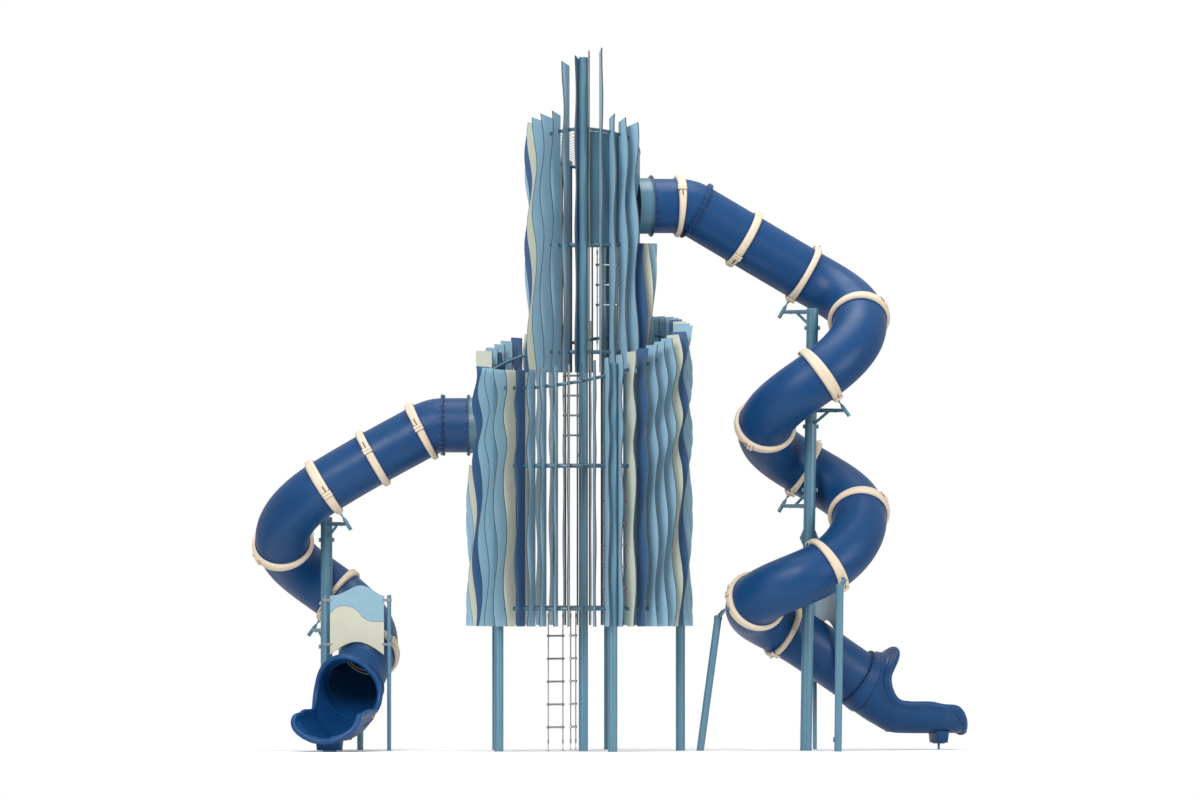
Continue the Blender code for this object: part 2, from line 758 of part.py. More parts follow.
def build_slide(name, route, exit_name):
    """The tube's lengths between clamps, each one node with the clamp at its end."""
    nodes = []
    for leg in route.legs:
        if leg[1].starts_node:
            nodes.append([])
        nodes[-1].append(leg)
    tube = TUBE_OD / 2
    for number, legs in enumerate(nodes, 1):
        begin = legs[0][0]
        outer = [(begin + CLAMP_WIDTH / 2 + GAP, tube)]
        if number == 1:
            outer = [(begin, FLANGE_OD / 2), (begin + FLANGE_WIDTH, FLANGE_OD / 2),
                     (begin + FLANGE_WIDTH, tube)]
        inner = [outer[0][0]]
        for leg_start, run, _, _, _, slope in legs:
            end = leg_start + run.length
            reach = {"clamp": CLAMP_WIDTH / 2, "flange": FLANGE_WIDTH, "exit": FLANGE_WIDTH,
                     "": 0.0}[run.joint]
            for place in plain_stations(leg_start, run, slope)[1:]:
                if place > outer[-1][0] + 0.02 and place < end - reach - 0.02:
                    outer.append((place, tube))
                    inner.append(place)
            if run.joint == "clamp":
                outer += [(end - reach, tube), (end - reach + CLAMP_EDGE, CLAMP_OD / 2),
                          (end + reach - CLAMP_EDGE, CLAMP_OD / 2)]
                last = run is legs[-1][1]
                outer.append((end + reach, tube + (TUBE_WALL if last else 0.0)))
                inner.append(end + reach)
            elif run.joint == "flange":
                outer += [(end - reach, tube), (end - reach, FLANGE_OD / 2),
                          (end + reach, FLANGE_OD / 2), (end + reach, tube)]
                inner.append(end)
            elif run.joint == "exit":
                outer += [(end - reach, tube), (end - reach, FLANGE_OD / 2),
                          (end - GAP, FLANGE_OD / 2)]
                inner.append(end - GAP)
            else:
                outer.append((end, tube))
                inner.append(end)
        label = f"{name}_{number}"
        shell(label,
              [route.ring(place, radius) for place, radius in outer],
              [route.ring(place, tube - TUBE_WALL) for place in inner],
              blue_plastic(label))
    build_exit(exit_name, route)


def build_exit(name, route):
    """The open chute at the foot of a slide: bell, hood, rims and foot block."""
    place, heading, _ = route.at(route.length)
    frame = Matrix.Translation(place) @ Matrix.Rotation(heading, 4, "Z")

    def rib_ring(rib, inset):
        lean = math.radians(rib.lean)
        up = Vector((math.sin(lean), 0.0, math.cos(lean))) * (rib.half_height - inset)
        side = Vector((0.0, rib.half_width - inset, 0.0))
        centre = Vector((rib.ahead, 0.0, rib.up))
        return [frame @ point for point in circle(centre, side, up, 1.0, EXIT_SIDES)]

    chute = shell(name, [rib_ring(rib, 0.0) for rib in EXIT_RIBS],
                  [rib_ring(rib, rib.wall) for rib in EXIT_RIBS])
    mouth = prism("mouth", EXIT_MOUTH, EXIT_CUT_WIDTH, frame)
    combine(chute, [mouth], "DIFFERENCE")
    first, last = EXIT_FOOT_AHEAD
    floor = -0.780 + EXIT_FOOT_SINK
    outline = ((first, -place.z), (last, -place.z), (last, floor), (first, floor))
    combine(chute, [prism("foot", outline, EXIT_FOOT_WIDTH, frame)], "UNION")
    tidy(chute, blue_plastic(name), smooth=True)


# Entry walls

def build_entry_wall(name, centre, rail_radius, limits, step, floor, plane, route):
    """A bent sheet with a round hole, and the short collar the slide bolts to."""
    outer = rail_radius + FIN_INSET - 2 * GAP
    bottom = floor + RAIL_HALF + GAP
    rings = []
    count = round((limits[1] - limits[0]) / step)
    for i in range(count + 1):
        bearing = limits[0] + step * i
        top = plane_height(plane, outward(bearing) * ring_radius(rail_radius))
        top -= RING_TUBE / 2 + WALL_RING_GAP
        ends = []
        for radius, level in ((outer, bottom), (outer, top),
                              (outer - WALL_THICKNESS, top), (outer - WALL_THICKNESS, bottom)):
            ends.append(centre + outward(bearing) * radius + Vector((0.0, 0.0, level)))
        rings.append(ends)
    wall = loft(name, rings, smooth=False)
    start = -route.start_gap
    collar = [route.ring(place, COLLAR_OD / 2) for place in (start, -GAP)]
    combine(wall, [loft("collar", collar)], "UNION")
    inside = TUBE_OD / 2 - TUBE_WALL
    bore = [route.ring(place, inside) for place in (start - 0.3, 0.1)]
    combine(wall, [loft("bore", bore)], "DIFFERENCE")
    tidy(wall, teal_steel(name))


# Slide supports

def lean_at(ends, level):
    """The point of a leaning post's axis at a height."""
    foot, head = ends
    return foot.lerp(head, (level - foot.z) / (head.z - foot.z))


def saddle_arms(route, joint, ends):
    """Arm, brace, saddle and strut that carry one clamp from a main post."""
    middle, _, up, _ = route.axes(route.joints[joint])
    edge = middle - up * CLAMP_OD / 2
    saddle = edge - up * SADDLE_DROP
    drop = -BRACE_DROP if joint in HIGH_BRACE_JOINTS else BRACE_DROP
    root = lean_at(ends, saddle.z)
    foot = lean_at(ends, saddle.z - drop)
    knee = root.lerp(saddle, BRACE_REACH)
    return [
        bar("arm", root, saddle, ARM_TUBE, RING_SIDES),
        bar("brace", foot, knee, BRACE_TUBE, RING_SIDES),
        bar("saddle", edge - up * SADDLE_BAR[0], edge - up * SADDLE_BAR[1], ARM_TUBE,
            RING_SIDES),
        bar("strut", saddle, middle, STRUT_TUBE, RING_SIDES),
    ]


def build_main_post(name, ends, route, joints):
    item = post(name, ends[0], ends[1], MAIN_POST_OD, 0.0)
    solids = []
    for joint in joints:
        solids += saddle_arms(route, joint, ends)
    combine(item, solids, "UNION")
    combine(item, [route.clamp_room(joint) for joint in joints], "DIFFERENCE")
    tidy(item, teal_steel(name), smooth=True)


def build_prop_post(name, ends, diameter, route, joint):
    """A post with one short strut from its head to a clamp."""
    item = post(name, ends[0], ends[1], diameter, 0.0, sides=12)
    middle, _, _, along = route.axes(route.joints[joint])
    root = lean_at(ends, ends[1].z - STRUT_TUBE)
    reach = root - middle
    side = (reach - along * reach.dot(along)).normalized()
    elbow = middle + side * (CLAMP_OD / 2 + PROP_REACH)
    solids = [
        bar("arm", root, elbow, STRUT_TUBE, RING_SIDES),
        bar("strut", elbow + side * STRUT_TUBE / 2, middle, STRUT_TUBE, RING_SIDES),
    ]
    combine(item, solids, "UNION")
    combine(item, [route.clamp_room(joint)], "DIFFERENCE")
    tidy(item, teal_steel(name), smooth=True)


def build_panel(name, route, back, post_names):
    """A wave-topped panel arched over the slide, between two thin posts."""
    middle, heading, _ = route.at(route.length - back)
    frame = Matrix.Translation(middle) @ Matrix.Rotation(heading + math.pi / 2, 4, "Z")
    half = PANEL_WIDTH / 2
    outline = []
    for i in range(9):
        across = -half + PANEL_WIDTH * i / 8
        turn = across / half
        outline.append((across, PANEL_TOP + PANEL_CREST * (0.5 + 0.5 * math.cos(
            math.pi * (turn - 0.15 * (1 - turn * turn))))))
    for i in range(9):
        across = half - PANEL_WIDTH * i / 8
        outline.append((across, PANEL_FOOT + (PANEL_ARCH - PANEL_FOOT)
                        * math.cos(math.pi / 2 * across / half)))
    prism(name, outline, PANEL_THICKNESS, frame, panel_sheet(name))
    for side, post_name in zip((-1, 1), post_names):
        foot = frame @ Vector((side * PANEL_POST_OUT, 0.0, -middle.z))
        head = frame @ Vector((side * PANEL_POST_OUT, 0.0, PANEL_POST_HEAD))
        item = post(post_name, foot, head, PANEL_POST_OD, 0.0, sides=12)
        lugs = []
        for height in PANEL_LUG_HEIGHTS:
            start = frame @ Vector((side * PANEL_POST_OUT, 0.0, height))
            end = frame @ Vector((side * (half + GAP), 0.0, height))
            lugs.append(bar("lug", start, end, PANEL_LUG, RING_SIDES))
        combine(item, lugs, "UNION")
        tidy(item, teal_steel(post_name), smooth=True)


def main():
    clear_scene()
    build_tower_posts()
    build_lower_fins()
    build_upper_fins()
    build_lower_ring()
    build_upper_ring()
    build_decks()
    build_ladders()
    RIGHT_ROUTE.start_gap = RIGHT_START - UPPER_RING + 0.06
    LEFT_ROUTE.start_gap = LEFT_START - LOWER_RING + 0.03
    build_entry_wall("upper_entry_wall", UPPER_CENTRE, UPPER_RING, UPPER_WALL, UPPER_STEP,
                     FLOORS[3], UPPER_TOP_PLANE, RIGHT_ROUTE)
    build_entry_wall("lower_entry_wall", LOWER_CENTRE, LOWER_RING, LOWER_WALL, LOWER_STEP,
                     FLOORS[1], LOWER_TOP_PLANE, LEFT_ROUTE)
    build_slide("right_tube", RIGHT_ROUTE, "right_exit")
    build_slide("left_tube", LEFT_ROUTE, "left_exit")
    build_main_post("right_main_post", RIGHT_POST, RIGHT_ROUTE, RIGHT_ARM_JOINTS)
    build_main_post("left_main_post", LEFT_POST, LEFT_ROUTE, LEFT_ARM_JOINTS)
    build_prop_post("right_front_post", FRONT_POST, PROP_POST_OD, RIGHT_ROUTE, FRONT_POST_JOINT)
    build_prop_post("right_leaning_post", LEANING_POST, PROP_POST_OD, RIGHT_ROUTE,
                    LEANING_POST_JOINT)
    build_prop_post("left_rear_post", REAR_POST, REAR_POST_OD, LEFT_ROUTE, REAR_POST_JOINT)
    build_panel("right_panel", RIGHT_ROUTE, RIGHT_PANEL_BACK,
                ("right_panel_post_near", "right_panel_post_far"))
    build_panel("left_panel", LEFT_ROUTE, LEFT_PANEL_BACK,
                ("left_panel_post_left", "left_panel_post_right"))


if __name__ == "__main__":
    main()
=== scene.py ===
"""Playground play structure: the finished pieces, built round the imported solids.

Everything is in metres in the solids' own frame: +Z up, +X to the right in the
front elevation. Bearings round the towers are degrees from the front, growing
towards +X. Slide headings are degrees anticlockwise from +X seen from above.
"""

import math
from collections import namedtuple

import bmesh
import bpy
from mathutils import Matrix, Vector


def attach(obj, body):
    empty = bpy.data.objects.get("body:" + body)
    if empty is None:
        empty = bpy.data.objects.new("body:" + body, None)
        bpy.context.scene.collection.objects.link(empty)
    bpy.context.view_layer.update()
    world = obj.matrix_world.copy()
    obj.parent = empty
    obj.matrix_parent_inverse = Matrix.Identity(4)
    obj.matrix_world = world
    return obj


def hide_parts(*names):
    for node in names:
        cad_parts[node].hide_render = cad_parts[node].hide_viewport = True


bl_info = {
    "name": "Play tower with tube slides",
    "version": (1, 0, 0),
    "blender": (4, 5, 0),
    "location": "View3D > Sidebar > Play tower",
    "description": "Builds the boards, slides, posts, decks and ladders of a play tower",
    "category": "Object",
}

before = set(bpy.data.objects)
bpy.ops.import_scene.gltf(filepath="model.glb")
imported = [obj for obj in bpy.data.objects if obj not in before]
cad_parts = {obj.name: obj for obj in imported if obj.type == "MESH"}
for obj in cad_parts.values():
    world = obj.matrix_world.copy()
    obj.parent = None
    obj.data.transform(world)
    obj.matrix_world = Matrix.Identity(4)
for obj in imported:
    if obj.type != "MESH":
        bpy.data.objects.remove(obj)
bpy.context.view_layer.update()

UP, EAST, NORTH = Vector((0, 0, 1)), Vector((1, 0, 0)), Vector((0, 1, 0))

# Sizes shared with the solids
FLOORS = (2.030, 4.060, 5.680, 7.205)
DECK_THICKNESS = 0.036
LOWER_CENTRE = Vector((-0.056, 0.452, 0.0))
LOWER_RING = 1.354
LOWER_TIP = 1.580
LOWER_COUNT = 50
LOWER_POSTS = (19.2, 91.2, 163.2, 235.2, 307.2)
LOWER_BOTTOM = 1.778
LOWER_PLANE = (5.548, 0.1874, 0.2141)
LOWER_SHORT = (-107.0, -77.0, 4.070)
UPPER_RING = 0.705
UPPER_TIP = 0.912
UPPER_COUNT = 30
UPPER_BOTTOM = 5.388
UPPER_BOARD_PLANE = (8.767, -0.13, -0.523)
UPPER_PLANE = (8.573, -0.07, -0.41)
UPPER_SHORT = (58.0, 143.0, 7.230)
CROWN_TOPS = {-25.6: 9.82, -13.6: 9.90, -1.6: 9.97, 10.4: 10.01}
TALL_BEARING = -7.6
ARM_BEARING = 159.8
BACK_POST = 3
INSET = 0.008
UPPER_WALL = (-7.6, 184.4)
LOWER_WALL = (-117.6, -67.2)
TALL_POST_TOP = 9.880
BACK_POST_TOP = 8.350
# How far the lower posts and boards rise above the lower ring's plane
LOWER_POST_RISE = 0.180
LOWER_BOARD_RISE = 0.266
# How far the tilted rings' middle lines lie inside the boards
RING_INSIDE = 0.0256

# Each tower's wave: turns in a metre, how many more above a level, its lag round the tower
# (a fifth of a turn from board to board) and its start
Wave = namedtuple("Wave", "rate quicker level lag start")
LOWER_WAVE = Wave(0.70, 0.50, 4.10, 10.0, 144.0)
UPPER_WAVE = Wave(0.57, 0.20, 7.10, 6.0, 257.0)

Ladder = namedtuple("Ladder", "name x y turn side foot head first_rung step rungs")
LADDERS = (
    Ladder("ladder_ground_left", -0.396, 0.300, 50.0, 1, None, 0, 0.335, 0.325, 5),
    Ladder("ladder_ground_right", -0.145, 0.950, 77.0, -1, None, 0, 0.335, 0.325, 5),
    Ladder("ladder_first_floor", 0.451, 0.250, 0.0, 1, 0, 1, 2.316, 0.308, 5),
    Ladder("ladder_second_floor", -0.175, 0.720, 54.0, -1, 1, 2, 4.493, 0.283, 4),
    Ladder("ladder_top_floor", 0.344, 0.400, 25.0, 1, 2, 3, 6.351, 0.285, 3),
)

# The slides' radii, and how far from its tower's middle each starts and its entry wall stands
TUBE = 0.3885
BORE = 0.3765
CLAMP = 0.455
CLAMP_BAND = 0.100
FLANGE = 0.440
SLIDE_STARTS = {"right": 0.862, "left": 1.570}
ENTRY_WALL_REACH = {"right": 0.70, "left": 1.345}
# A run: plan length, clockwise turn, drop, slope at the end, joint at the end
# and whether a new length of tube starts with it
Run = namedtuple("Run", "length turn drop end_slope joint starts_node")


def arc(radius, turn):
    return radius * math.radians(turn)


RIGHT_RUNS = (
    Run(0.405, 0.0, 0.000, 0.000, "clamp", True),
    Run(0.260, 0.0, 0.070, 0.583, "flange", False),
    Run(0.689, 0.0, 0.402, 0.583, "clamp", False),
    Run(0.870, 0.0, 0.504, 0.584, "clamp", True),
    Run(arc(0.678, 90.0), 90.0, 0.631, 0.672, "clamp", True),
    Run(arc(0.678, 90.0), 90.0, 0.804, 0.713, "clamp", True),
    Run(arc(0.678, 90.0), 90.0, 0.716, 0.627, "clamp", True),
    Run(arc(0.678, 90.0), 90.0, 0.620, 0.590, "clamp", True),
    Run(arc(0.678, 90.0), 90.0, 0.636, 0.687, "clamp", True),
    Run(arc(0.678, 81.5), 81.5, 0.749, 0.600, "clamp", True),
    Run(0.178, 0.0, 0.090, 0.440, "", True),
    Run(arc(0.678, 86.0), 86.0, 0.410, 0.395, "clamp", False),
    Run(arc(0.678, 91.5), 91.5, 0.402, 0.490, "clamp", True),
    Run(1.130, 0.0, 0.698, 0.618, "exit", True),
)
LEFT_RUNS = (
    Run(0.376, 0.0, 0.000, 0.000, "flange", True),
    Run(0.300, 0.0, 0.089, 0.560, "clamp", False),
    Run(0.699, 0.0, 0.382, 0.565, "clamp", False),
    Run(0.696, 0.0, 0.409, 0.620, "clamp", True),
    Run(arc(0.630, 97.6), 97.6, 0.822, 0.730, "clamp", True),
    Run(arc(0.630, 93.7), 93.7, 0.731, 0.740, "clamp", True),
    Run(arc(0.630, 92.0), 92.0, 0.798, 0.680, "clamp", True),
    Run(0.760, 0.0, 0.465, 0.618, "exit", True),
)

Support = namedtuple("Support", "name foot head radius side joints")
SUPPORTS = (
    Support("right_main_post", Vector((3.172, 0.640, 0.0)), Vector((3.267, 0.640, 6.307)),
            0.084, "right", (3, 5, 7)),
    Support("left_main_post", Vector((-3.668, 1.240, 0.0)), Vector((-3.668, 1.240, 3.330)),
            0.084, "left", (3, 5)),
    Support("right_front_post", Vector((3.620, -0.500, 0.0)), Vector((3.647, -0.500, 2.388)),
            0.054, "right", (9,)),
    Support("right_leaning_post", Vector((1.664, 0.420, 0.0)), Vector((1.924, 0.360, 1.932)),
            0.054, "right", (11,)),
    Support("left_rear_post", Vector((-3.188, 1.360, 0.0)), Vector((-3.188, 1.360, 0.950)),
            0.045, "left", (6,)),
)
# How far below a clamp its arm ends, how far below the arm its brace starts, the joints whose
# brace starts above the arm, and how far a prop stands off its clamp
SADDLE_DROP = 0.165
BRACE_DROP = 0.230
HIGH_BRACES = (7,)
PROP_REACH = 0.070
# The undersides of the chutes' foot blocks, and how far ahead of the last flange they stand
CHUTE_FOOT_BOTTOMS = {"right": 0.095, "left": 0.018}
FOOT_AHEAD = 1.250
# A panel: its slide, how far back from the slide's end, its node and its posts' nodes
PANEL_HALF = 0.400
PANEL_POST_OUT = 0.475
PANEL_POST_TOP = 1.185
PANEL_BANDS = (0.480, 1.110)
PANELS = (
    ("right", 0.466, "right_panel", ("right_panel_post_near", "right_panel_post_far")),
    ("left", 0.155, "left_panel", ("left_panel_post_left", "left_panel_post_right")),
)

# Sizes of fittings and of what shows only in the finished pieces
POST_SKIN = 0.0662
POST_MEETS = 0.0655
BOLT_SIDES = 6
SMALL_BOLT = 0.013
COMMON_BOLT = 0.020
BOLT_CIRCLE = 0.417
FLANGE_BOLTS = 26
COLLAR_BOLTS = 28
RING_FIT = 0.0004
CLAMP_FIT = 0.0006
ROPE_SPACING = 0.323
RUNG_HALF = 0.186
TWINE = 0.0028
NET_SAG = 0.05
HATCH_PLATE_HALF, HATCH_JOIST_HALF = 0.212, 0.222
TRIM_INNER, TRIM_OUTER = 0.2095, 0.2185
HATCH_CORNER = 0.03
SPLICE_LOW, SPLICE_HIGH, EAR_LEVEL = 2.94, 3.14, 3.03

# The view is as wide as the drawing, and from so far off that it is nearly as flat
VIEW_WIDTH = 17.1
VIEW_MIDDLE = (0.2366, 0.45, 4.996)
LENS, SENSOR = 850.0, 36.0
FLOOR_MIDDLE = Vector((0.2, 0.6, -0.002))
FLOOR_RADIUS = 8.0
Lamp = namedtuple("Lamp", "name place aim size power")
LAMPS = (
    Lamp("key_light", Vector((-9, -23, 20)), Vector((0, 0.6, 4.5)), 12.0, 6200.0),
    Lamp("fill_light", Vector((21, -15, 8)), Vector((0, 0.6, 4.5)), 12.0, 2600.0),
    Lamp("mouth_light", Vector((-4.2, -7.5, 1.0)), Vector((-3.3, 0.3, 0.9)), 1.4, 90.0),
    Lamp("top_light", Vector((2, 2, 26)), Vector((0, 0.6, 4.5)), 14.0, 3200.0),
)


def hex_linear(code):
    """An sRGB hex colour as linear red, green and blue."""
    values = [int(code[i:i + 2], 16) / 255 for i in (1, 3, 5)]
    return tuple(v / 12.92 if v <= 0.04045 else ((v + 0.055) / 1.055) ** 2.4 for v in values)


def colour_property(name, description, code):
    return bpy.props.FloatVectorProperty(
        name=name, description=description, subtype="COLOR", size=3, min=0.0, max=1.0,
        default=hex_linear(code))


def length_property(name, description, default):
    return bpy.props.FloatProperty(
        name=name, description=description, default=default, min=0.0, soft_max=1.0,
        subtype="DISTANCE", unit="LENGTH")


class PlayTowerColours(bpy.types.PropertyGroup):
    """The structure's paint and plastic colours."""

    steel: colour_property("Steel paint", "Powder coat on posts, rails and walls", "#456f83")
    slide: colour_property("Slide", "Polyethylene of the tubes and chutes", "#083b69")
    clamp: colour_property("Clamp", "Polyethylene of the clamps round the tubes", "#d1c1ab")
    board_light: colour_property("Light board", "Light blue laminate", "#86abbf")
    board_cream: colour_property("Cream board", "Cream laminate", "#c0c5b6")
    board_dark: colour_property("Dark board", "Dark blue laminate", "#365a83")
    board_core: colour_property("Board core", "Bare edge of the laminate boards", "#39464b")
    panel_top: colour_property("Panel top", "Upper wave of the panels", "#7d9fb0")
    panel_base: colour_property("Panel base", "Lower part of the panels", "#b6b6a6")
    deck: colour_property("Deck", "Anti-slip plate of the floors", "#6d7478")
    rope: colour_property("Rope", "Braided rope of the ladders and the net", "#8b8d8c")
    floor: colour_property("Floor", "Studio floor", "#f0f0ef")


class PlayTowerSizes(bpy.types.PropertyGroup):
    """Sizes that a user may change without moving anything off the solids."""

    board: length_property("Board", "Thickness of the wavy boards", 0.019)
    wave: length_property("Wave", "Height of the boards' waves", 0.038)
    rail: length_property("Rail", "Diameter of the level rails", 0.057)
    ring: length_property("Ring", "Diameter of the tilted rings", 0.048)
    rope: length_property("Rope", "Diameter of the ladder ropes", 0.018)
    rung: length_property("Rung", "Diameter of the ladder rungs", 0.030)
    net_cell: length_property("Net cell", "Spacing of the net's twine", 0.060)


# Materials

def add_node(tree, kind, settings=None, links=None):
    """Adds a node, sets its sockets or options, and links other nodes to it."""
    node = tree.nodes.new(kind)
    for key, value in (settings or {}).items():
        if key in node.inputs:
            node.inputs[key].default_value = value
        else:
            setattr(node, key, value)
    for key, source in (links or {}).items():
        tree.links.new(source, node.inputs[key])
    return node


def start_material(name, roughness, metallic=0.0):
    """A fresh material, its shader and object coordinates in metres."""
    material = bpy.data.materials.new(name)
    material.use_nodes = True
    tree = material.node_tree
    shader = tree.nodes["Principled BSDF"]
    shader.inputs["Roughness"].default_value = roughness
    shader.inputs["Metallic"].default_value = metallic
    place = add_node(tree, "ShaderNodeTexCoord").outputs["Object"]
    return material, tree, shader, place


def speckle(tree, shader, place, colour, strength, size, low, high):
    """Clouds of slightly darker and lighter colour, and of duller and glossier surface."""
    cloud = add_node(tree, "ShaderNodeTexNoise",
                     {"Scale": 1.0 / size, "Detail": 3.0, "Roughness": 0.55}, {"Vector": place})
    shade = tuple(max(0.0, c * (1 - strength)) for c in colour)
    tint = tuple(min(1.0, c * (1 + strength)) for c in colour)
    mix = add_node(tree, "ShaderNodeMix", {"data_type": "RGBA"})
    mix.inputs[6].default_value = (*shade, 1.0)
    mix.inputs[7].default_value = (*tint, 1.0)
    tree.links.new(cloud.outputs["Fac"], mix.inputs[0])
    tree.links.new(mix.outputs[2], shader.inputs["Base Color"])
    gloss = add_node(tree, "ShaderNodeMapRange",
                     {"From Min": 0.3, "From Max": 0.7, "To Min": low, "To Max": high},
                     {"Value": cloud.outputs["Fac"]})
    tree.links.new(gloss.outputs["Result"], shader.inputs["Roughness"])


def roughen(tree, shader, place, size, depth, strength=0.5):
    """A fine grain pressed into the surface, as bump."""
    grain = add_node(tree, "ShaderNodeTexNoise",
                     {"Scale": 1.0 / size, "Detail": 2.0}, {"Vector": place})
    bump = add_node(tree, "ShaderNodeBump", {"Strength": strength, "Distance": depth},
                    {"Height": grain.outputs["Fac"]})
    tree.links.new(bump.outputs["Normal"], shader.inputs["Normal"])
    return bump


def powder_coated_steel(name, colour):
    # Sprayed polyester powder baked on steel: satin, with a faint orange peel. Real peel is
    # about 2 mm across; it is drawn 9 mm across so that it shows at this distance.
    material, tree, shader, place = start_material(name, 0.38)
    shader.inputs["IOR"].default_value = 1.50
    shader.inputs["Coat Weight"].default_value = 0.25
    shader.inputs["Coat Roughness"].default_value = 0.22
    speckle(tree, shader, place, colour, 0.05, 0.55, 0.32, 0.46)
    roughen(tree, shader, place, 0.009, 0.0006)
    return material


def rotomoulded_polyethylene(name, colour):
    # Powder melted in a turning mould: waxy, low sheen, slightly mottled where the pigment
    # settled, with a pebbled skin. The pebbles are 1 mm and drawn 10 mm across.
    material, tree, shader, place = start_material(name, 0.42)
    shader.inputs["IOR"].default_value = 1.51
    shader.inputs["Specular IOR Level"].default_value = 0.26
    speckle(tree, shader, place, colour, 0.07, 0.30, 0.34, 0.50)
    roughen(tree, shader, place, 0.010, 0.0008)
    return material


def laminate_face(name, colour):
    # High-pressure laminate: a hard dyed sheet with a fine satin press texture. The texture
    # is 0.6 mm and drawn 7 mm; soft clouds show where weather has dulled it.
    material, tree, shader, place = start_material(name, 0.42)
    speckle(tree, shader, place, colour, 0.06, 0.22, 0.36, 0.52)
    roughen(tree, shader, place, 0.007, 0.0005)
    return material


def laminate_core(name, colour):
    # The sawn edge of the same board: dark resin-bound paper in thin layers, cut by a saw
    # whose fine marks run across the edge. The marks are 1 mm apart and drawn 12 mm.
    material, tree, shader, place = start_material(name, 0.55)
    speckle(tree, shader, place, colour, 0.16, 0.05, 0.45, 0.65)
    marks = add_node(tree, "ShaderNodeTexWave",
                     {"Scale": 26.0, "Distortion": 1.5, "bands_direction": "Z"},
                     {"Vector": place})
    bump = add_node(tree, "ShaderNodeBump", {"Strength": 0.3, "Distance": 0.0005},
                    {"Height": marks.outputs["Fac"]})
    tree.links.new(bump.outputs["Normal"], shader.inputs["Normal"])
    return material


def anti_slip_plate(name, colour):
    # Laminate deck board pressed with small round studs for grip, dulled by shoes. The studs
    # are 8 mm wide, 16 mm apart.
    material, tree, shader, place = start_material(name, 0.65)
    speckle(tree, shader, place, colour, 0.14, 0.25, 0.55, 0.80)
    studs = add_node(tree, "ShaderNodeTexVoronoi", {"Scale": 62.0, "Randomness": 0.0},
                     {"Vector": place})
    raised = add_node(tree, "ShaderNodeMapRange",
                      {"From Min": 0.25, "From Max": 0.42, "To Min": 1.0, "To Max": 0.0},
                      {"Value": studs.outputs["Distance"]})
    bump = add_node(tree, "ShaderNodeBump", {"Strength": 0.6, "Distance": 0.0015},
                    {"Height": raised.outputs["Result"]})
    tree.links.new(bump.outputs["Normal"], shader.inputs["Normal"])
    return material


def braided_rope(name, colour):
    # Polyester rope over a steel core: matt fibres, greyer where hands and rain have worn
    # it. Fibre bundles are about 1 mm and drawn 4 mm.
    material, tree, shader, place = start_material(name, 0.85)
    shader.inputs["Sheen Weight"].default_value = 0.3
    speckle(tree, shader, place, colour, 0.25, 0.02, 0.75, 0.95)
    roughen(tree, shader, place, 0.004, 0.0010, 0.8)
    return material


def drawn_aluminium(name, colour):
    # Anodised aluminium tube: bright but not mirror-like, with fine marks from drawing that
    # soften the highlight. The marks are 0.2 mm and drawn 3 mm.
    material, tree, shader, place = start_material(name, 0.34, 1.0)
    speckle(tree, shader, place, colour, 0.06, 0.04, 0.28, 0.42)
    roughen(tree, shader, place, 0.003, 0.0003, 0.4)
    return material


def stainless_fixing(name, colour):
    # Turned stainless steel bolts and nuts: grey metal, dulled outdoors in patches of 15 mm.
    material, tree, shader, place = start_material(name, 0.35, 1.0)
    speckle(tree, shader, place, colour, 0.10, 0.015, 0.30, 0.50)
    return material


def painted_floor(name, colour):
    # Matt studio floor paint, rolled on: a very faint mottle 1.5 m across.
    material, tree, shader, place = start_material(name, 0.90)
    speckle(tree, shader, place, colour, 0.01, 1.5, 0.85, 0.95)
    return material


MATERIALS = {}


def finish(key):
    """A material by its short name, made on first use from the scene's colours."""
    if key not in MATERIALS:
        colours = bpy.context.scene.play_tower_colours
        recipes = {
            "steel": ("teal_powder_coat", powder_coated_steel, tuple(colours.steel)),
            "flange": ("slide_flange_polyethylene", rotomoulded_polyethylene,
                       hex_linear("#183a68")),
            "slide": ("blue_polyethylene", rotomoulded_polyethylene, tuple(colours.slide)),
            "clamp": ("cream_polyethylene", rotomoulded_polyethylene, tuple(colours.clamp)),
            "light": ("light_blue_laminate", laminate_face, tuple(colours.board_light)),
            "cream": ("cream_laminate", laminate_face, tuple(colours.board_cream)),
            "dark": ("dark_blue_laminate", laminate_face, tuple(colours.board_dark)),
            "core": ("laminate_core", laminate_core, tuple(colours.board_core)),
            "panel_top": ("panel_blue_laminate", laminate_face, tuple(colours.panel_top)),
            "panel_base": ("panel_cream_laminate", laminate_face, tuple(colours.panel_base)),
            "panel_back": ("panel_grey_blue_laminate", laminate_face, hex_linear("#8098a6")),
            "fitting": ("grey_nylon_fitting", rotomoulded_polyethylene, hex_linear("#7d8487")),
            "deck": ("anti_slip_deck_plate", anti_slip_plate, tuple(colours.deck)),
            "rope": ("braided_rope", braided_rope, tuple(colours.rope)),
            "knob": ("grey_nylon_clamp", rotomoulded_polyethylene, hex_linear("#6f757b")),
            "rung": ("drawn_aluminium", drawn_aluminium, hex_linear("#b9bdc0")),
            "bolt": ("stainless_fixing", stainless_fixing, hex_linear("#8d9296")),
            # Black used only for painted shade: clamp gaps, slots and bolt pockets, hand holes, and
            # the chutes' groove and crease
            "cap": ("black_polyethylene_cap", rotomoulded_polyethylene, hex_linear("#2a2d30")),
            "floor": ("studio_floor_paint", painted_floor, tuple(colours.floor)),
        }
        name, recipe, colour = recipes[key]
        MATERIALS[key] = recipe(name, colour)
    return MATERIALS[key]


# Mesh helpers

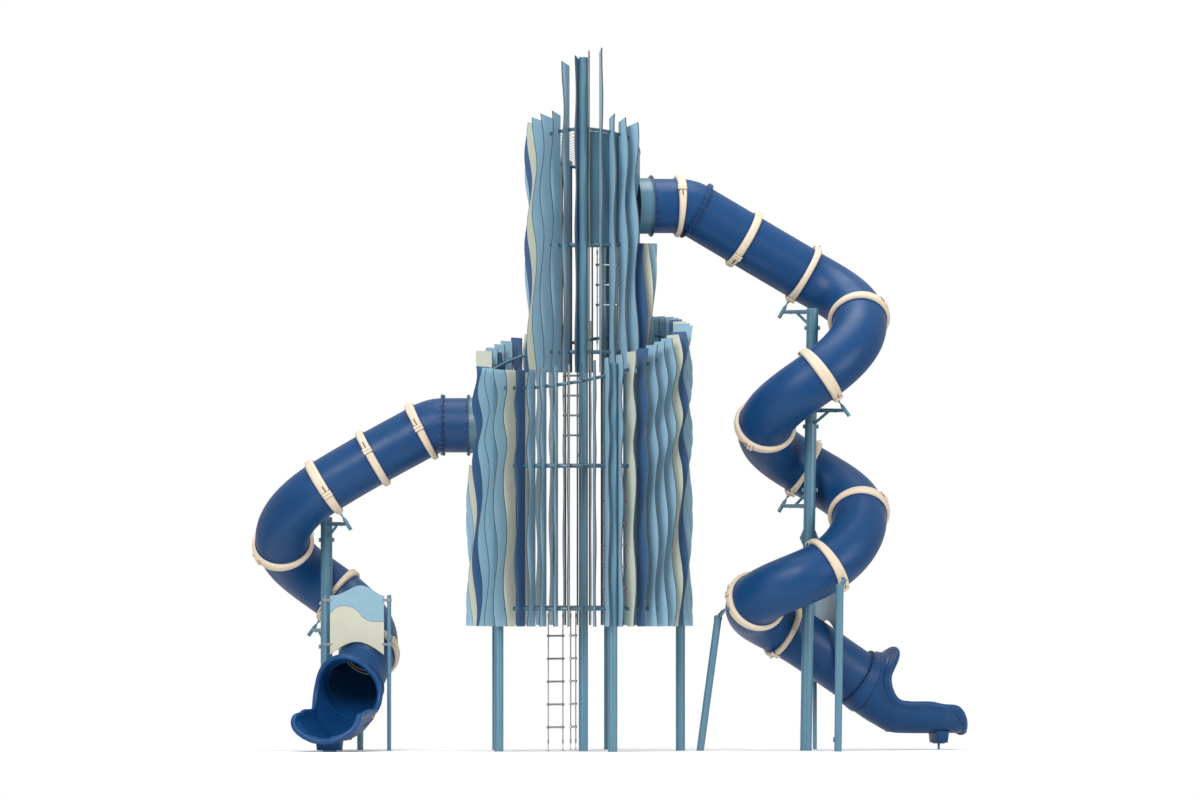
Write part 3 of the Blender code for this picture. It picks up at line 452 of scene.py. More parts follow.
def make_piece(name, bm, keys, replaces=(), angle=38.0):
    """Turns a mesh in world places into a piece of the structure."""
    bmesh.ops.recalc_face_normals(bm, faces=bm.faces)
    mesh = bpy.data.meshes.new(name)
    bm.to_mesh(mesh)
    bm.free()
    mesh.shade_smooth()
    mesh.set_sharp_from_angle(angle=math.radians(angle))
    for key in keys:
        mesh.materials.append(finish(key))
    piece = bpy.data.objects.new(name, mesh)
    bpy.context.scene.collection.objects.link(piece)
    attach(piece, "root")
    if replaces:
        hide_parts(*replaces)
    return piece


def strip(bm, first, second, material=0, around=True):
    """Quads between two rows of as many vertices."""
    count = len(first)
    for i in range(count if around else count - 1):
        j = (i + 1) % count
        face = bm.faces.new((first[i], first[j], second[j], second[i]))
        face.material_index = material


def loft(bm, rings, material=0, closed=False):
    """Quads over rings of points, with flat ends unless it closes on itself."""
    rows = [[bm.verts.new(point) for point in ring] for ring in rings]
    for first, second in zip(rows, rows[1:]):
        strip(bm, first, second, material)
    if closed:
        strip(bm, rows[-1], rows[0], material)
    else:
        for row in (rows[0], rows[-1]):
            bm.faces.new(row).material_index = material


def circle(centre, first, second, radius, sides):
    return [centre + (first * math.cos(a) + second * math.sin(a)) * radius
            for a in (2 * math.pi * i / sides for i in range(sides))]


def across_of(axis):
    """Two directions square to an axis, the first one level where it can be."""
    level = axis.cross(Vector((0.0, 0.0, 1.0)))
    if level.length < 0.05:
        level = Vector((1.0, 0.0, 0.0))
    level = (level - axis * level.dot(axis)).normalized()
    return level, level.cross(axis)


def turned(bm, start, axis, profile, sides=24, material=0):
    """A body of revolution: pairs of distance along the axis and radius."""
    axis = axis.normalized()
    first, second = across_of(axis)
    rings = [circle(start + axis * along, first, second, max(radius, 0.0004), sides)
             for along, radius in profile]
    loft(bm, rings, material)


def rod(bm, start, end, radius, sides=16, material=0, chamfer=0.0):
    """A round bar between two points, its ends eased by a chamfer."""
    length = (end - start).length
    profile = [(0.0, radius), (length, radius)]
    if chamfer:
        profile = [(0.0, radius - chamfer), (chamfer, radius),
                   (length - chamfer, radius), (length, radius - chamfer)]
    turned(bm, start, end - start, profile, sides, material)


def bolt(bm, place, axis, width, material=1):
    """A low domed hexagon bolt head on its washer, standing on a surface."""
    half = width / 2
    turned(bm, place - axis * 0.001, axis,
           [(0.0, half * 1.25), (0.0025, half * 1.25), (0.0025, half), (half * 0.75, half),
            (half * 0.95, half * 0.6)], BOLT_SIDES, material)


def bolt_circle(across, up, radius, count):
    """Even steps round a flange, from its centre to each bolt."""
    for i in range(count):
        angle = 2 * math.pi * (i + 0.5) / count
        yield (across * math.cos(angle) + up * math.sin(angle)) * radius


def plate(bm, frame, size, bevel=0.0015, material=0):
    """A flat block with eased edges, centred on a frame."""
    x, y, z = (value / 2 for value in size)
    b = min(bevel, x * 0.45, y * 0.45, z * 0.45)
    rings = []
    for up, ease in ((-z, b), (-z + b, 0.0), (z - b, 0.0), (z, b)):
        ring = []
        for sx, sy in ((-1, -1), (1, -1), (1, 1), (-1, 1)):
            ring.append(frame @ Vector((sx * (x - ease), sy * (y - ease), up)))
        rings.append(ring)
    loft(bm, rings, material)


def along_path(bm, points, radius, sides=12, closed=False, material=0, up=None):
    """A round bar that follows points."""
    rings = []
    count = len(points)
    normal = None
    for i, place in enumerate(points):
        before = points[i - 1] if closed or i else place
        after = points[(i + 1) % count] if closed or i < count - 1 else place
        axis = (after - before).normalized()
        if up is not None:
            second = (up - axis * up.dot(axis)).normalized()
            first = axis.cross(second)
        else:
            if normal is None:
                normal = across_of(axis)[0]
            normal = (normal - axis * normal.dot(axis)).normalized()
            first = normal
            second = axis.cross(first)
        rings.append([place + first * math.cos(a) * radius + second * math.sin(a) * radius
                      for a in (2 * math.pi * k / sides for k in range(sides))])
    loft(bm, rings, material, closed)


def frame_at(place, x_axis, z_axis):
    """A frame from a place, its X direction and roughly its Z direction."""
    x = x_axis.normalized()
    y = z_axis.cross(x).normalized()
    z = x.cross(y)
    matrix = Matrix((x, y, z)).transposed().to_4x4()
    matrix.translation = place
    return matrix


# Places

def lift(height):
    """A step straight up."""
    return Vector((0, 0, height))


def level_direction(turn):
    """A level direction, in degrees anticlockwise from +X."""
    return Vector((math.cos(math.radians(turn)), math.sin(math.radians(turn)), 0))


def outward(bearing):
    """The level direction away from a tower at a bearing."""
    angle = math.radians(bearing)
    return Vector((math.sin(angle), -math.cos(angle), 0.0))


def plane_height(plane, offset):
    return plane[0] + plane[1] * offset.x + plane[2] * offset.y


def within(bearing, start, stop):
    return (bearing - start) % 360.0 < stop - start


RAIL_HALF = 0.031 * math.cos(math.pi / 4)
POST_FLAT = 0.0665 * math.cos(math.pi / 16)


def post_circle(radius, count):
    side = (radius + RAIL_HALF) * math.cos(math.pi / count)
    return side + POST_FLAT + 0.0003


LOWER_POST_CIRCLE = post_circle(LOWER_RING, LOWER_COUNT)
UPPER_CENTRE = outward(TALL_BEARING) * -post_circle(UPPER_RING, UPPER_COUNT)
POST_PLACES = [LOWER_CENTRE + outward(b) * LOWER_POST_CIRCLE for b in LOWER_POSTS]
BACK_PLACE = POST_PLACES[BACK_POST - 1]


class Route:
    """The centreline of a slide, followed by plan distance from its first flange."""

    def __init__(self, centre, start, heading, level, runs):
        self.legs = []
        direction = Vector((math.cos(math.radians(heading)), math.sin(math.radians(heading))))
        place = centre.xy + direction * start
        distance = slope = 0.0
        for run in runs:
            self.legs.append((distance, run, place, heading, level, slope))
            place, heading = self.advance(place, heading, run, 1.0)
            distance += run.length
            level -= run.drop
            slope = run.end_slope
        self.joints = [leg[0] + leg[1].length for leg in self.legs]
        self.length = distance

    @staticmethod
    def advance(place, heading, run, fraction):
        start = math.radians(heading)
        if not run.turn:
            step = Vector((math.cos(start), math.sin(start))) * run.length * fraction
            return place + step, heading
        end = start - math.radians(run.turn) * fraction
        radius = run.length / math.radians(run.turn)
        step = Vector((math.sin(start) - math.sin(end), math.cos(end) - math.cos(start)))
        return place + step * radius, math.degrees(end)

    def at(self, distance):
        leg = [item for item in self.legs if item[0] <= distance + 1e-9 or item is self.legs[0]]
        begin, run, place, heading, level, slope = leg[-1]
        part = (distance - begin) / run.length
        flat, turned_to = self.advance(place, heading, run, part)
        into = slope * run.length
        out = run.end_slope * run.length
        bend = 3 * run.drop - 2 * into - out
        curl = into + out - 2 * run.drop
        drop = into * part + bend * part ** 2 + curl * part ** 3
        steep = (into + 2 * bend * part + 3 * curl * part ** 2) / run.length
        return (Vector((flat.x, flat.y, level - drop)), math.radians(turned_to),
                math.atan(steep))

    def axes(self, distance):
        """Centre, the level direction across, up the side, and along the tube."""
        place, heading, slope = self.at(distance)
        across = Vector((-math.sin(heading), math.cos(heading), 0.0))
        up = Vector((math.sin(slope) * math.cos(heading),
                     math.sin(slope) * math.sin(heading), math.cos(slope)))
        return place, across, up, across.cross(up)

    def ring(self, distance, radius, sides=56):
        place, across, up, _ = self.axes(distance)
        return circle(place, across, up, radius, sides)


ROUTES = {
    "right": Route(UPPER_CENTRE, SLIDE_STARTS["right"], 9.5, 7.764, RIGHT_RUNS),
    "left": Route(LOWER_CENTRE, SLIDE_STARTS["left"], 177.6, 4.636, LEFT_RUNS),
}


# Pieces

def round_post(bm, foot, head, radius):
    """A steel tube standing at an angle, its foot level, under a shallow pressed cap."""
    tall = head.z - foot.z
    lean = (head - foot) / tall
    profile = [(0.0, radius), (tall - 0.016, radius), (tall - 0.015, radius * 0.985),
               (tall - 0.006, radius * 0.97), (tall - 0.001, radius * 0.80),
               (tall, radius * 0.35)]
    loft(bm, [circle(foot + lean * rise, EAST, NORTH, size, 48) for rise, size in profile])


def rail_collar(bm, place, bearing, radius, level):
    """A two-part clamp round a post where a rail meets it, with its bolts."""
    centre = Vector((place.x, place.y, level))
    outer = radius + 0.004
    turned(bm, centre - lift(0.030), UP,
           [(0.0, radius + 0.0002), (0.001, outer), (0.059, outer), (0.060, radius + 0.0002)], 48)
    for side in (-1, 1):
        ear = outward(bearing + 90 * side)
        spot = centre + ear * (outer + 0.004)
        plate(bm, frame_at(spot, ear, UP), (0.014, 0.012, 0.052))
        bolt(bm, spot + outward(bearing) * 0.006, outward(bearing), SMALL_BOLT)


def build_posts():
    places = {"tall_post": (Vector(), TALL_BEARING, TALL_POST_TOP, FLOORS[2:])}
    for number, bearing in enumerate(LOWER_POSTS, 1):
        offset = outward(bearing) * LOWER_POST_CIRCLE
        top = plane_height(LOWER_PLANE, offset) + LOWER_POST_RISE
        if number == BACK_POST:
            top = BACK_POST_TOP
        places[f"lower_post_{number}"] = (LOWER_CENTRE + offset, bearing, top, FLOORS[:2])
    for node, (place, bearing, top, levels) in places.items():
        bm = bmesh.new()
        head = place.copy()
        head.z = top
        round_post(bm, place, head, POST_SKIN)
        for level in levels:
            rail_collar(bm, place, bearing, POST_SKIN, level)
        make_piece(f"round_{node}", bm, ("steel", "bolt"), (node,))


def wave(sizes, pattern, bearing, height):
    """How far a board's outer edge stands out of its plain line."""
    turns = pattern.rate * height + pattern.quicker * max(0.0, height - pattern.level)
    return sizes.wave * math.sin(2 * math.pi * turns
                                 + math.radians(pattern.start - pattern.lag * bearing))


def board(bm, sizes, pattern, centre, bearing, inner, tip, bottom, top, fall, face):
    """One laminate board: straight inside, wavy outside, its edges eased to the core."""
    half = sizes.board / 2
    ease = 0.0018
    forward = outward(bearing)
    side = outward(bearing + 90.0)
    steps = max(6, round((top - bottom) / 0.058))
    rows = []
    for i in range(steps + 1):
        part = i / steps
        outer = tip + wave(sizes, pattern, bearing, bottom + (top - bottom) * part)
        ring = []
        for radius, out in ((inner, -half + ease), (inner + ease, -half), (outer - ease, -half),
                            (outer, -half + ease), (outer, half - ease), (outer - ease, half),
                            (inner + ease, half), (inner, half - ease)):
            head = top - fall * (outer - radius) / (outer - inner)
            height = bottom + (head - bottom) * part
            ring.append(bm.verts.new(centre + forward * radius + side * out
                                     + lift(height)))
        rows.append(ring)
    for first, second in zip(rows, rows[1:]):
        for i in range(8):
            j = (i + 1) % 8
            made = bm.faces.new((first[i], first[j], second[j], second[i]))
            made.material_index = face if i in (1, 5) else 3
    for ring in (rows[0], rows[-1]):
        bm.faces.new(ring).material_index = 3


def rail_bracket(bm, sizes, centre, bearing, radius, level):
    """The two plates that clasp one board at a rail, with a bolt head on each side."""
    forward = outward(bearing)
    side = outward(bearing + 90.0)
    half = sizes.board / 2
    spot = centre + forward * (radius + 0.040) + lift(level)
    for way in (-1, 1):
        face = spot + side * way * (half + 0.0025)
        plate(bm, frame_at(face, forward, UP), (0.062, 0.004, 0.050))
        bolt(bm, face + side * way * 0.002 + forward * 0.012, side * way, SMALL_BOLT)


def rail_arc(centre, radius, level, start, stop):
    """Points along a level rail from one bearing to another."""
    count = max(2, round((stop - start) / 3.0))
    return [centre + outward(start + (stop - start) * i / count) * radius
            + lift(level) for i in range(count + 1)]


# The bearing of a first board, and the colours that repeat from it round the tower
LOWER_COLOURS = (-78.0, (1, 2, 0, 0, 0))
UPPER_COLOURS = (-13.6, (2, 1, 0, 0, 0, 0))


def board_colour(bearing, step, colours):
    """Most boards are light blue, with one cream and one dark blue in each group."""
    first, order = colours
    return order[round((bearing - first) / step) % len(order)]


def lower_top(bearing):
    """How high the lower tower's board at a bearing stands."""
    if within(bearing, LOWER_SHORT[0], LOWER_SHORT[1]):
        return LOWER_SHORT[2]
    return plane_height(LOWER_PLANE, outward(bearing) * LOWER_RING) + LOWER_BOARD_RISE


def upper_top(bearing):
    """How high the upper tower's board at a bearing stands."""
    if within(bearing, UPPER_SHORT[0], UPPER_SHORT[1]):
        return UPPER_SHORT[2]
    for crown, top in CROWN_TOPS.items():
        if within(bearing, crown - 1.0, crown + 1.0):
            return top
    return plane_height(UPPER_BOARD_PLANE, outward(bearing) * UPPER_RING)


def build_boards(sizes):
    towers = (
        ("lower", LOWER_WAVE, LOWER_CENTRE, LOWER_RING, LOWER_TIP, LOWER_POSTS[0], 10, 7.2,
         LOWER_BOTTOM, lower_top, FLOORS[:2], LOWER_COLOURS, 0.012),
        ("upper", UPPER_WAVE, UPPER_CENTRE, UPPER_RING, UPPER_TIP, TALL_BEARING, 6, 12.0,
         UPPER_BOTTOM, upper_top, FLOORS[2:], UPPER_COLOURS, 0.070),
    )
    for (tower, pattern, centre, ring, tip, begin, count, step, bottom, top_of, levels,
         colours, fall) in towers:
        for number in range(1, 6):
            start = begin + 72.0 * (number - 1)
            boards = bmesh.new()
            rails = bmesh.new()
            for i in range(count):
                bearing = start + step * (i + 0.5)
                top = top_of(bearing)
                drop = 0.0 if top in (LOWER_SHORT[2], UPPER_SHORT[2]) else fall
                board(boards, sizes, pattern, centre, bearing, ring + INSET, tip, bottom, top,
                      drop, board_colour(bearing, step, colours))
                for level in levels:
                    if level < top - 0.03:
                        rail_bracket(rails, sizes, centre, bearing, ring, level)
            for level in levels:
                points = rail_arc(centre, ring, level, start, start + 72.0)
                along_path(rails, points, sizes.rail / 2, 14, up=UP)
            if tower == "upper" and within(ARM_BEARING, start, start + 72.0):
                for level in levels:
                    back_arm(rails, level)
            name = f"{tower}_fins_{number}"
            make_piece(f"{tower}_boards_{number}", boards, ("light", "cream", "dark", "core"),
                       (name,), angle=30.0)
            make_piece(f"{tower}_rails_{number}", rails, ("steel", "bolt"))


def back_arm(bm, level):
    """The arm from the upper tower to the tall back post, with a clamp on the post."""
    start = UPPER_CENTRE + outward(ARM_BEARING) * UPPER_RING + lift(level)
    end = Vector((BACK_PLACE.x, BACK_PLACE.y, level))
    reach = (end - start).normalized()
    rod(bm, start, end - reach * 0.066, 0.016, 16)
    turned(bm, end - lift(0.025), UP,
           [(0.0, 0.0664), (0.001, 0.0705), (0.049, 0.0705), (0.050, 0.0664)], 40)


def ring_place(centre, plane, radius, bearing):
    """A point of a tilted ring's middle line."""
    offset = outward(bearing) * radius
    return centre + offset + lift(plane_height(plane, offset))


def build_rings(sizes):
    for node, centre, plane, rail in (
            ("lower_top_ring", LOWER_CENTRE, LOWER_PLANE, LOWER_RING),
            ("upper_top_ring", UPPER_CENTRE, UPPER_PLANE, UPPER_RING)):
        radius = rail + INSET - RING_INSIDE
        bm = bmesh.new()
        points = [ring_place(centre, plane, radius, 3.0 * i) for i in range(120)]
        along_path(bm, points, sizes.ring / 2, 16, closed=True, up=UP)
        if node == "lower_top_ring":
            for bearing, place in zip(LOWER_POSTS, POST_PLACES):
                start = ring_place(centre, plane, radius, bearing)
                end = Vector((place.x, place.y, start.z)) - outward(bearing) * POST_MEETS
                rod(bm, start, end, 0.024, 16)
                rail_collar(bm, place, bearing, POST_SKIN, start.z)
            count, first = LOWER_COUNT, LOWER_POSTS[0] + 3.6
        else:
            start = ring_place(centre, plane, radius, TALL_BEARING)
            end = lift(start.z) - outward(TALL_BEARING) * POST_MEETS
            rod(bm, start, end, 0.024, 16)
            rail_collar(bm, Vector(), TALL_BEARING, POST_SKIN, start.z)
            back_arm(bm, ring_place(centre, plane, radius, ARM_BEARING).z)
            count, first = UPPER_COUNT, TALL_BEARING + 6.0
        for i in range(count):
            bearing = first + i * 360.0 / count
            top = lower_top(bearing) if count == LOWER_COUNT else upper_top(bearing)
            level = ring_place(centre, plane, radius, bearing).z
            if level < top - 0.04:
                rail_bracket(bm, sizes, centre, bearing, radius + 0.016, level)
        make_piece(f"round_{node}", bm, ("steel", "bolt"), (node,))


def build_net(sizes):
    """The fine twine net laced across the upper tilted ring."""
    bm = bmesh.new()
    radius = UPPER_RING + INSET - RING_INSIDE - sizes.ring / 2 + 0.004
    count = int(radius / sizes.net_cell)
    for turn in (45.0, 135.0):
        along = outward(turn)
        across = outward(turn + 90.0)
        for i in range(-count, count + 1):
            shift = i * sizes.net_cell
            half = math.sqrt(max(radius ** 2 - shift ** 2, 0.0004))
            steps = max(2, round(2 * half / 0.16))
            points = []
            for k in range(steps + 1):
                offset = across * shift + along * (-half + 2 * half * k / steps)
                sag = NET_SAG * (1 - (offset.length / radius) ** 2)
                points.append(UPPER_CENTRE + offset
                              + lift(plane_height(UPPER_PLANE, offset) - sag))
            along_path(bm, points, TWINE, 6)
    make_piece("upper_ring_net", bm, ("rope",))


def rounded_square(centre, along, across, half, corner, level):
    """The outline of a hatch, five points to a corner."""
    points = []
    for quarter, (sx, sy) in enumerate(((1, 1), (-1, 1), (-1, -1), (1, -1))):
        for k in range(5):
            angle = math.pi / 2 * (quarter + k / 4)
            x = sx * (half - corner) + math.cos(angle) * corner
            y = sy * (half - corner) + math.sin(angle) * corner
            points.append(centre + along * x + across * y + lift(level))
    return points


def cut(piece, tools):
    """Cuts solids out of a piece and keeps the result as its mesh."""
    group = bpy.data.collections.new("cutters")
    bpy.context.scene.collection.children.link(group)
    for tool in tools:
        group.objects.link(tool)
    step = piece.modifiers.new("cut", "BOOLEAN")
    step.operation = "DIFFERENCE"
    step.operand_type = "COLLECTION"
    step.collection = group
    step.solver = "EXACT"
    bpy.context.view_layer.update()
    depsgraph = bpy.context.evaluated_depsgraph_get()
    mesh = bpy.data.meshes.new_from_object(piece.evaluated_get(depsgraph))
    piece.modifiers.clear()
    piece.data = mesh
    for tool in tools:
        bpy.data.objects.remove(tool, do_unlink=True)
    bpy.data.collections.remove(group)


def cutter(rings):
    """A loose solid for cut()."""
    bm = bmesh.new()
    loft(bm, rings)
    bmesh.ops.recalc_face_normals(bm, faces=bm.faces)
    mesh = bpy.data.meshes.new("cutter")
    bm.to_mesh(mesh)
    bm.free()
    return bpy.data.objects.new("cutter", mesh)


def hatch_frame(ladder):
    """The middle of a ladder's hatch, and the directions along and across it."""
    along = level_direction(ladder.turn)
    across = Vector((-along.y, along.x, 0))
    return Vector((ladder.x, ladder.y, 0)) + across * ladder.side * 0.25, along, across


def build_decks():
    towers = ((LOWER_CENTRE, LOWER_RING, LOWER_COUNT), (LOWER_CENTRE, LOWER_RING, LOWER_COUNT),
              (UPPER_CENTRE, UPPER_RING, UPPER_COUNT), (UPPER_CENTRE, UPPER_RING, UPPER_COUNT))
    for floor, (centre, ring, count) in enumerate(towers):
        level = FLOORS[floor]
        radius = (ring - RAIL_HALF - 0.001) * math.cos(math.pi / count)
        hatches = [hatch_frame(ladder) for ladder in LADDERS if ladder.head == floor]
        bm = bmesh.new()
        profile = ((0.000, radius - 0.001), (0.001, radius), (0.015, radius),
                   (0.017, radius - 0.002))
        loft(bm, [circle(centre + lift(level + 0.001 + rise), EAST, NORTH, size, 72)
                  for rise, size in profile])
        plate_piece = make_piece(f"plate_deck_{floor + 1}", bm, ("deck",),
                                 (f"deck_{floor + 1}",), angle=25.0)
        bars = bmesh.new()
        low = level - DECK_THICKNESS / 2
        spread = 0.44 if ring > 1 else 0.30
        for i in range(-4, 5):
            shift = i * spread
            if abs(shift) < radius - 0.08:
                half = math.sqrt((radius - 0.004) ** 2 - shift ** 2) - 0.01
                middle = centre + Vector((0, shift, low + 0.0095))
                plate(bars, frame_at(middle, EAST, UP), (2 * half, 0.05, 0.018))
        band = [circle(centre + lift(low + rise), EAST, NORTH, size, 72)
                for rise, size in ((0.0, radius), (0.0185, radius), (0.0185, radius - 0.012),
                                   (0.0, radius - 0.012))]
        loft(bars, band, closed=True)
        bars_piece = make_piece(f"joists_deck_{floor + 1}", bars, ("steel",),
                                angle=25.0)
        seams = []
        for turn in (0.0, 60.0, 120.0):
            along, across = outward(turn + 15), outward(turn + 105)
            base = centre + lift(level + 0.019)
            seams.append(cutter([[base + along * x * radius * 1.1 + across * y * 0.0018
                                  + lift(z * 0.004 - 0.002)
                                  for y, z in ((-1, -1), (1, -1), (1, 1), (-1, 1))]
                                 for x in (-1, 1)]))
        for target, extra in ((plate_piece, seams), (bars_piece, [])):
            tools = list(extra)
            for place, along, across in hatches:
                half = HATCH_PLATE_HALF if target is plate_piece else HATCH_JOIST_HALF
                tools.append(cutter([
                    rounded_square(place, along, across, half, HATCH_CORNER, level + rise)
                    for rise in (-0.06, 0.06)]))
            if centre is LOWER_CENTRE:
                tools.append(cutter([circle(lift(level + rise), EAST, NORTH, 0.069, 40)
                                     for rise in (-0.06, 0.06)]))
            cut(target, tools)
        trims = bmesh.new()
        for place, along, across in hatches:
            rings = []
            for half, rise in ((TRIM_INNER, -0.0175), (TRIM_INNER, 0.0178),
                               (TRIM_OUTER, 0.0178), (TRIM_OUTER, -0.0175)):
                rings.append(rounded_square(place, along, across, half, HATCH_CORNER,
                                            level + rise))
            loft(trims, rings, closed=True)
        for i in range(12):
            spot = centre + outward(30 * i + 8) * (radius - 0.05) + lift(level + 0.0165)
            bolt(trims, spot, UP, 0.010, material=0)
        if hatches:
            make_piece(f"hatch_trim_{floor + 1}", trims, ("bolt",), angle=25.0)
        else:
            trims.free()


def laid_rope(bm, bottom, top, radius):
    """A vertical rope of six strands laid round each other."""
    length = top.z - bottom.z
    steps = max(8, round(length / 0.016))
    rings = []
    for i in range(steps + 1):
        turn = 2 * math.pi * (length * i / steps) / 0.16
        ring = []
        for k in range(24):
            angle = 2 * math.pi * k / 24
            size = radius * (0.90 + 0.10 * abs(math.cos(3 * (angle - turn))))
            ring.append(Vector((bottom.x + size * math.cos(angle),
                                bottom.y + size * math.sin(angle),
                                bottom.z + length * i / steps)))
        rings.append(ring)
    loft(bm, rings)


def build_ladders(sizes):
    for ladder in LADDERS:
        along = level_direction(ladder.turn)
        place = Vector((ladder.x, ladder.y, 0))
        bottom = 0.0 if ladder.foot is None else FLOORS[ladder.foot] + DECK_THICKNESS / 2
        top = FLOORS[ladder.head] - DECK_THICKNESS / 2
        ropes = bmesh.new()
        fittings = bmesh.new()
        for side in (-0.5, 0.5):
            foot = place + along * (side * ROPE_SPACING)
            low = Vector((foot.x, foot.y, bottom + 0.11))
            high = Vector((foot.x, foot.y, top - 0.07))
            laid_rope(ropes, low, high, sizes.rope / 2)
            # Ferrules, shackles and end plates at both ends of the rope
            for end, way, reach in ((low, -1, low.z - bottom), (high, 1, top - high.z)):
                turned(fittings, end - UP * way * 0.05, UP * way,
                       [(0.0, 0.0095), (0.002, 0.0125), (0.056, 0.0125), (0.060, 0.008)], 16, 1)
                loop = []
                for k in range(20):
                    angle = 2 * math.pi * k / 20
                    loop.append(end + UP * way * (0.030 + 0.020 * math.cos(angle))
                                + along * 0.011 * math.sin(angle))
                along_path(fittings, loop, 0.0036, 8, closed=True, material=1)
                stem = end + UP * way * 0.046
                stop = end + UP * way * (reach - 0.006)
                rod(fittings, stem, stop, 0.0055, 10, 1)
                spot = end + UP * way * (reach - 0.0035)
                turned(fittings, spot - UP * 0.003, UP,
                       [(0.0, 0.034), (0.001, 0.036), (0.005, 0.036), (0.006, 0.034)], 24, 1)
            for rung in range(ladder.rungs):
                level = ladder.first_rung + rung * ladder.step
                knob = foot + UP * level
                turned(fittings, knob - along * 0.022, along,
                       [(0.0, 0.012), (0.004, 0.018), (0.012, 0.0205), (0.032, 0.0205),
                        (0.040, 0.018), (0.044, 0.012)], 20, 2)
        for rung in range(ladder.rungs):
            middle = place + UP * (ladder.first_rung + rung * ladder.step)
            rod(fittings, middle - along * RUNG_HALF, middle + along * RUNG_HALF,
                sizes.rung / 2, 20, 0, 0.004)
        make_piece(f"rope_{ladder.name}", ropes, ("rope",), (ladder.name,))
        make_piece(f"rungs_{ladder.name}", fittings, ("rung", "bolt", "knob"))


def build_entry_walls():
    walls = (
        ("upper_entry_wall", "right", UPPER_CENTRE, UPPER_RING, UPPER_WALL, FLOORS[3],
         UPPER_PLANE),
        ("lower_entry_wall", "left", LOWER_CENTRE, LOWER_RING, LOWER_WALL, FLOORS[1],
         LOWER_PLANE),
    )
    for node, slide, centre, rail, (start, stop), floor, plane in walls:
        route = ROUTES[slide]
        radius = rail + INSET - 0.010
        low = floor + RAIL_HALF + 0.003
        bm = bmesh.new()
        count = round((stop - start) / 2.4)
        rings = []
        for i in range(count + 1):
            bearing = start + (stop - start) * i / count
            top = ring_place(centre, plane, rail + INSET - RING_INSIDE, bearing).z - 0.029
            rings.append([centre + outward(bearing) * size + lift(level)
                          for size, level in ((radius, low), (radius, top),
                                              (radius - 0.006, top), (radius - 0.006, low))])
        loft(bm, rings)
        wall = make_piece(f"sheet_{node}", bm, ("steel",), (node,), angle=25.0)
        cut(wall, [cutter([route.ring(place, BORE, 72) for place in (-0.6, 0.1)])])
        bm = bmesh.new()
        sheet = ENTRY_WALL_REACH[slide] - SLIDE_STARTS[slide] - 0.035
        collar = [route.ring(place, size, 72) for place, size in (
            (sheet, BORE + 0.001), (sheet, 0.3985), (-0.0055, 0.3985), (-0.0050, FLANGE - 0.008),
            (-0.0005, FLANGE - 0.008), (-0.0005, BORE + 0.001))]
        loft(bm, collar, closed=True)
        place, across, up, along = route.axes(0.0)
        for step in bolt_circle(across, up, BOLT_CIRCLE, COLLAR_BOLTS):
            bolt(bm, place + step - along * 0.0055, -along, SMALL_BOLT)
        # Bolts along the lower edge of the bent sheet
        for i in range(count):
            if i % 4 == 2:
                bearing = start + (stop - start) * i / count
                spot = centre + outward(bearing) * (radius - 0.0065)
                bolt(bm, spot + lift(low + 0.03), -outward(bearing), 0.012)
        make_piece(f"collar_{node}", bm, ("steel", "bolt"))


def tube_distances(begin, end, run):
    """Where a run's sections lie: close together on bends, further apart on straights."""
    step = 0.045 if run.turn or run.length < 0.35 else 0.12
    count = max(1, round((end - begin) / step))
    return [begin + (end - begin) * i / count for i in range(count + 1)]


def build_tubes():
    for side, route in ROUTES.items():
        nodes = []
        for index, leg in enumerate(route.legs):
            if leg[1].starts_node:
                nodes.append([])
            nodes[-1].append((index, leg))
        for number, legs in enumerate(nodes, 1):
            bm = bmesh.new()
            begin = legs[0][1][0]
            stop = legs[-1][1][0] + legs[-1][1][1].length
            places = []
            for _, leg in legs:
                run_places = tube_distances(leg[0], leg[0] + leg[1].length, leg[1])
                places += run_places[bool(places):]
            first = begin + (0.0 if number == 1 else 0.0008)
            last = stop - (0.0008 if legs[-1][1][1].joint != "exit" else 0.0)
            places[0], places[-1] = first, last
            outer = [route.ring(place, TUBE) for place in places]
            inner = [route.ring(place, BORE + 0.001) for place in reversed(places)]
            loft(bm, outer + inner, closed=True)
            node = f"{side}_tube_{number}"
            make_piece(f"{side}_slide_length_{number}", bm, ("slide",), (node,))
        for index, leg in enumerate(route.legs):
            joint = leg[1].joint
            at = route.joints[index]
            if joint == "clamp":
                build_clamp(route, at, CLAMP_BLOCKS[side][index], f"{side}_clamp_{index}")
            elif joint == "flange":
                bands = ((at - 0.0150, at - 0.0015), (at + 0.0005, at + 0.0145))
                build_flange(route, f"{side}_flange_{index}", bands, at)
            elif joint == "exit":
                build_flange(route, f"{side}_flange_exit", ((at - 0.018, at - 0.001),), at, (-1,))
        build_flange(route, f"{side}_flange_entry", ((0.0008, 0.018),), 0.009, (1,))


def flange_bolt(bm, head, axis):
    """A moulded bolt cover in the flange's colour, with a steel tip."""
    bolt(bm, head, axis, 0.025, 0)
    bolt(bm, head + axis * 0.012, axis, 0.014)


def build_flange(route, name, bands, middle, ways=(-1, 1)):
    """Dark moulded flanges, with bolts against (-1) and along (1) the slide's direction."""
    bm = bmesh.new()
    for low, high in bands:
        loft(bm, [route.ring(place, size, 72) for place, size in (
            (low, TUBE + RING_FIT), (low, FLANGE - 0.003), (low + 0.002, FLANGE),
            (high - 0.002, FLANGE), (high, FLANGE - 0.003), (high, TUBE + RING_FIT))],
             closed=True)
    place, across, up, along = route.axes(middle)
    reach = max(abs(bands[0][0] - middle), abs(bands[-1][1] - middle))
    for step in bolt_circle(across, up, BOLT_CIRCLE, FLANGE_BOLTS):
        for way in ways:
            flange_bolt(bm, place + step + along * way * reach, along * way)
    make_piece(name, bm, ("flange", "bolt"))


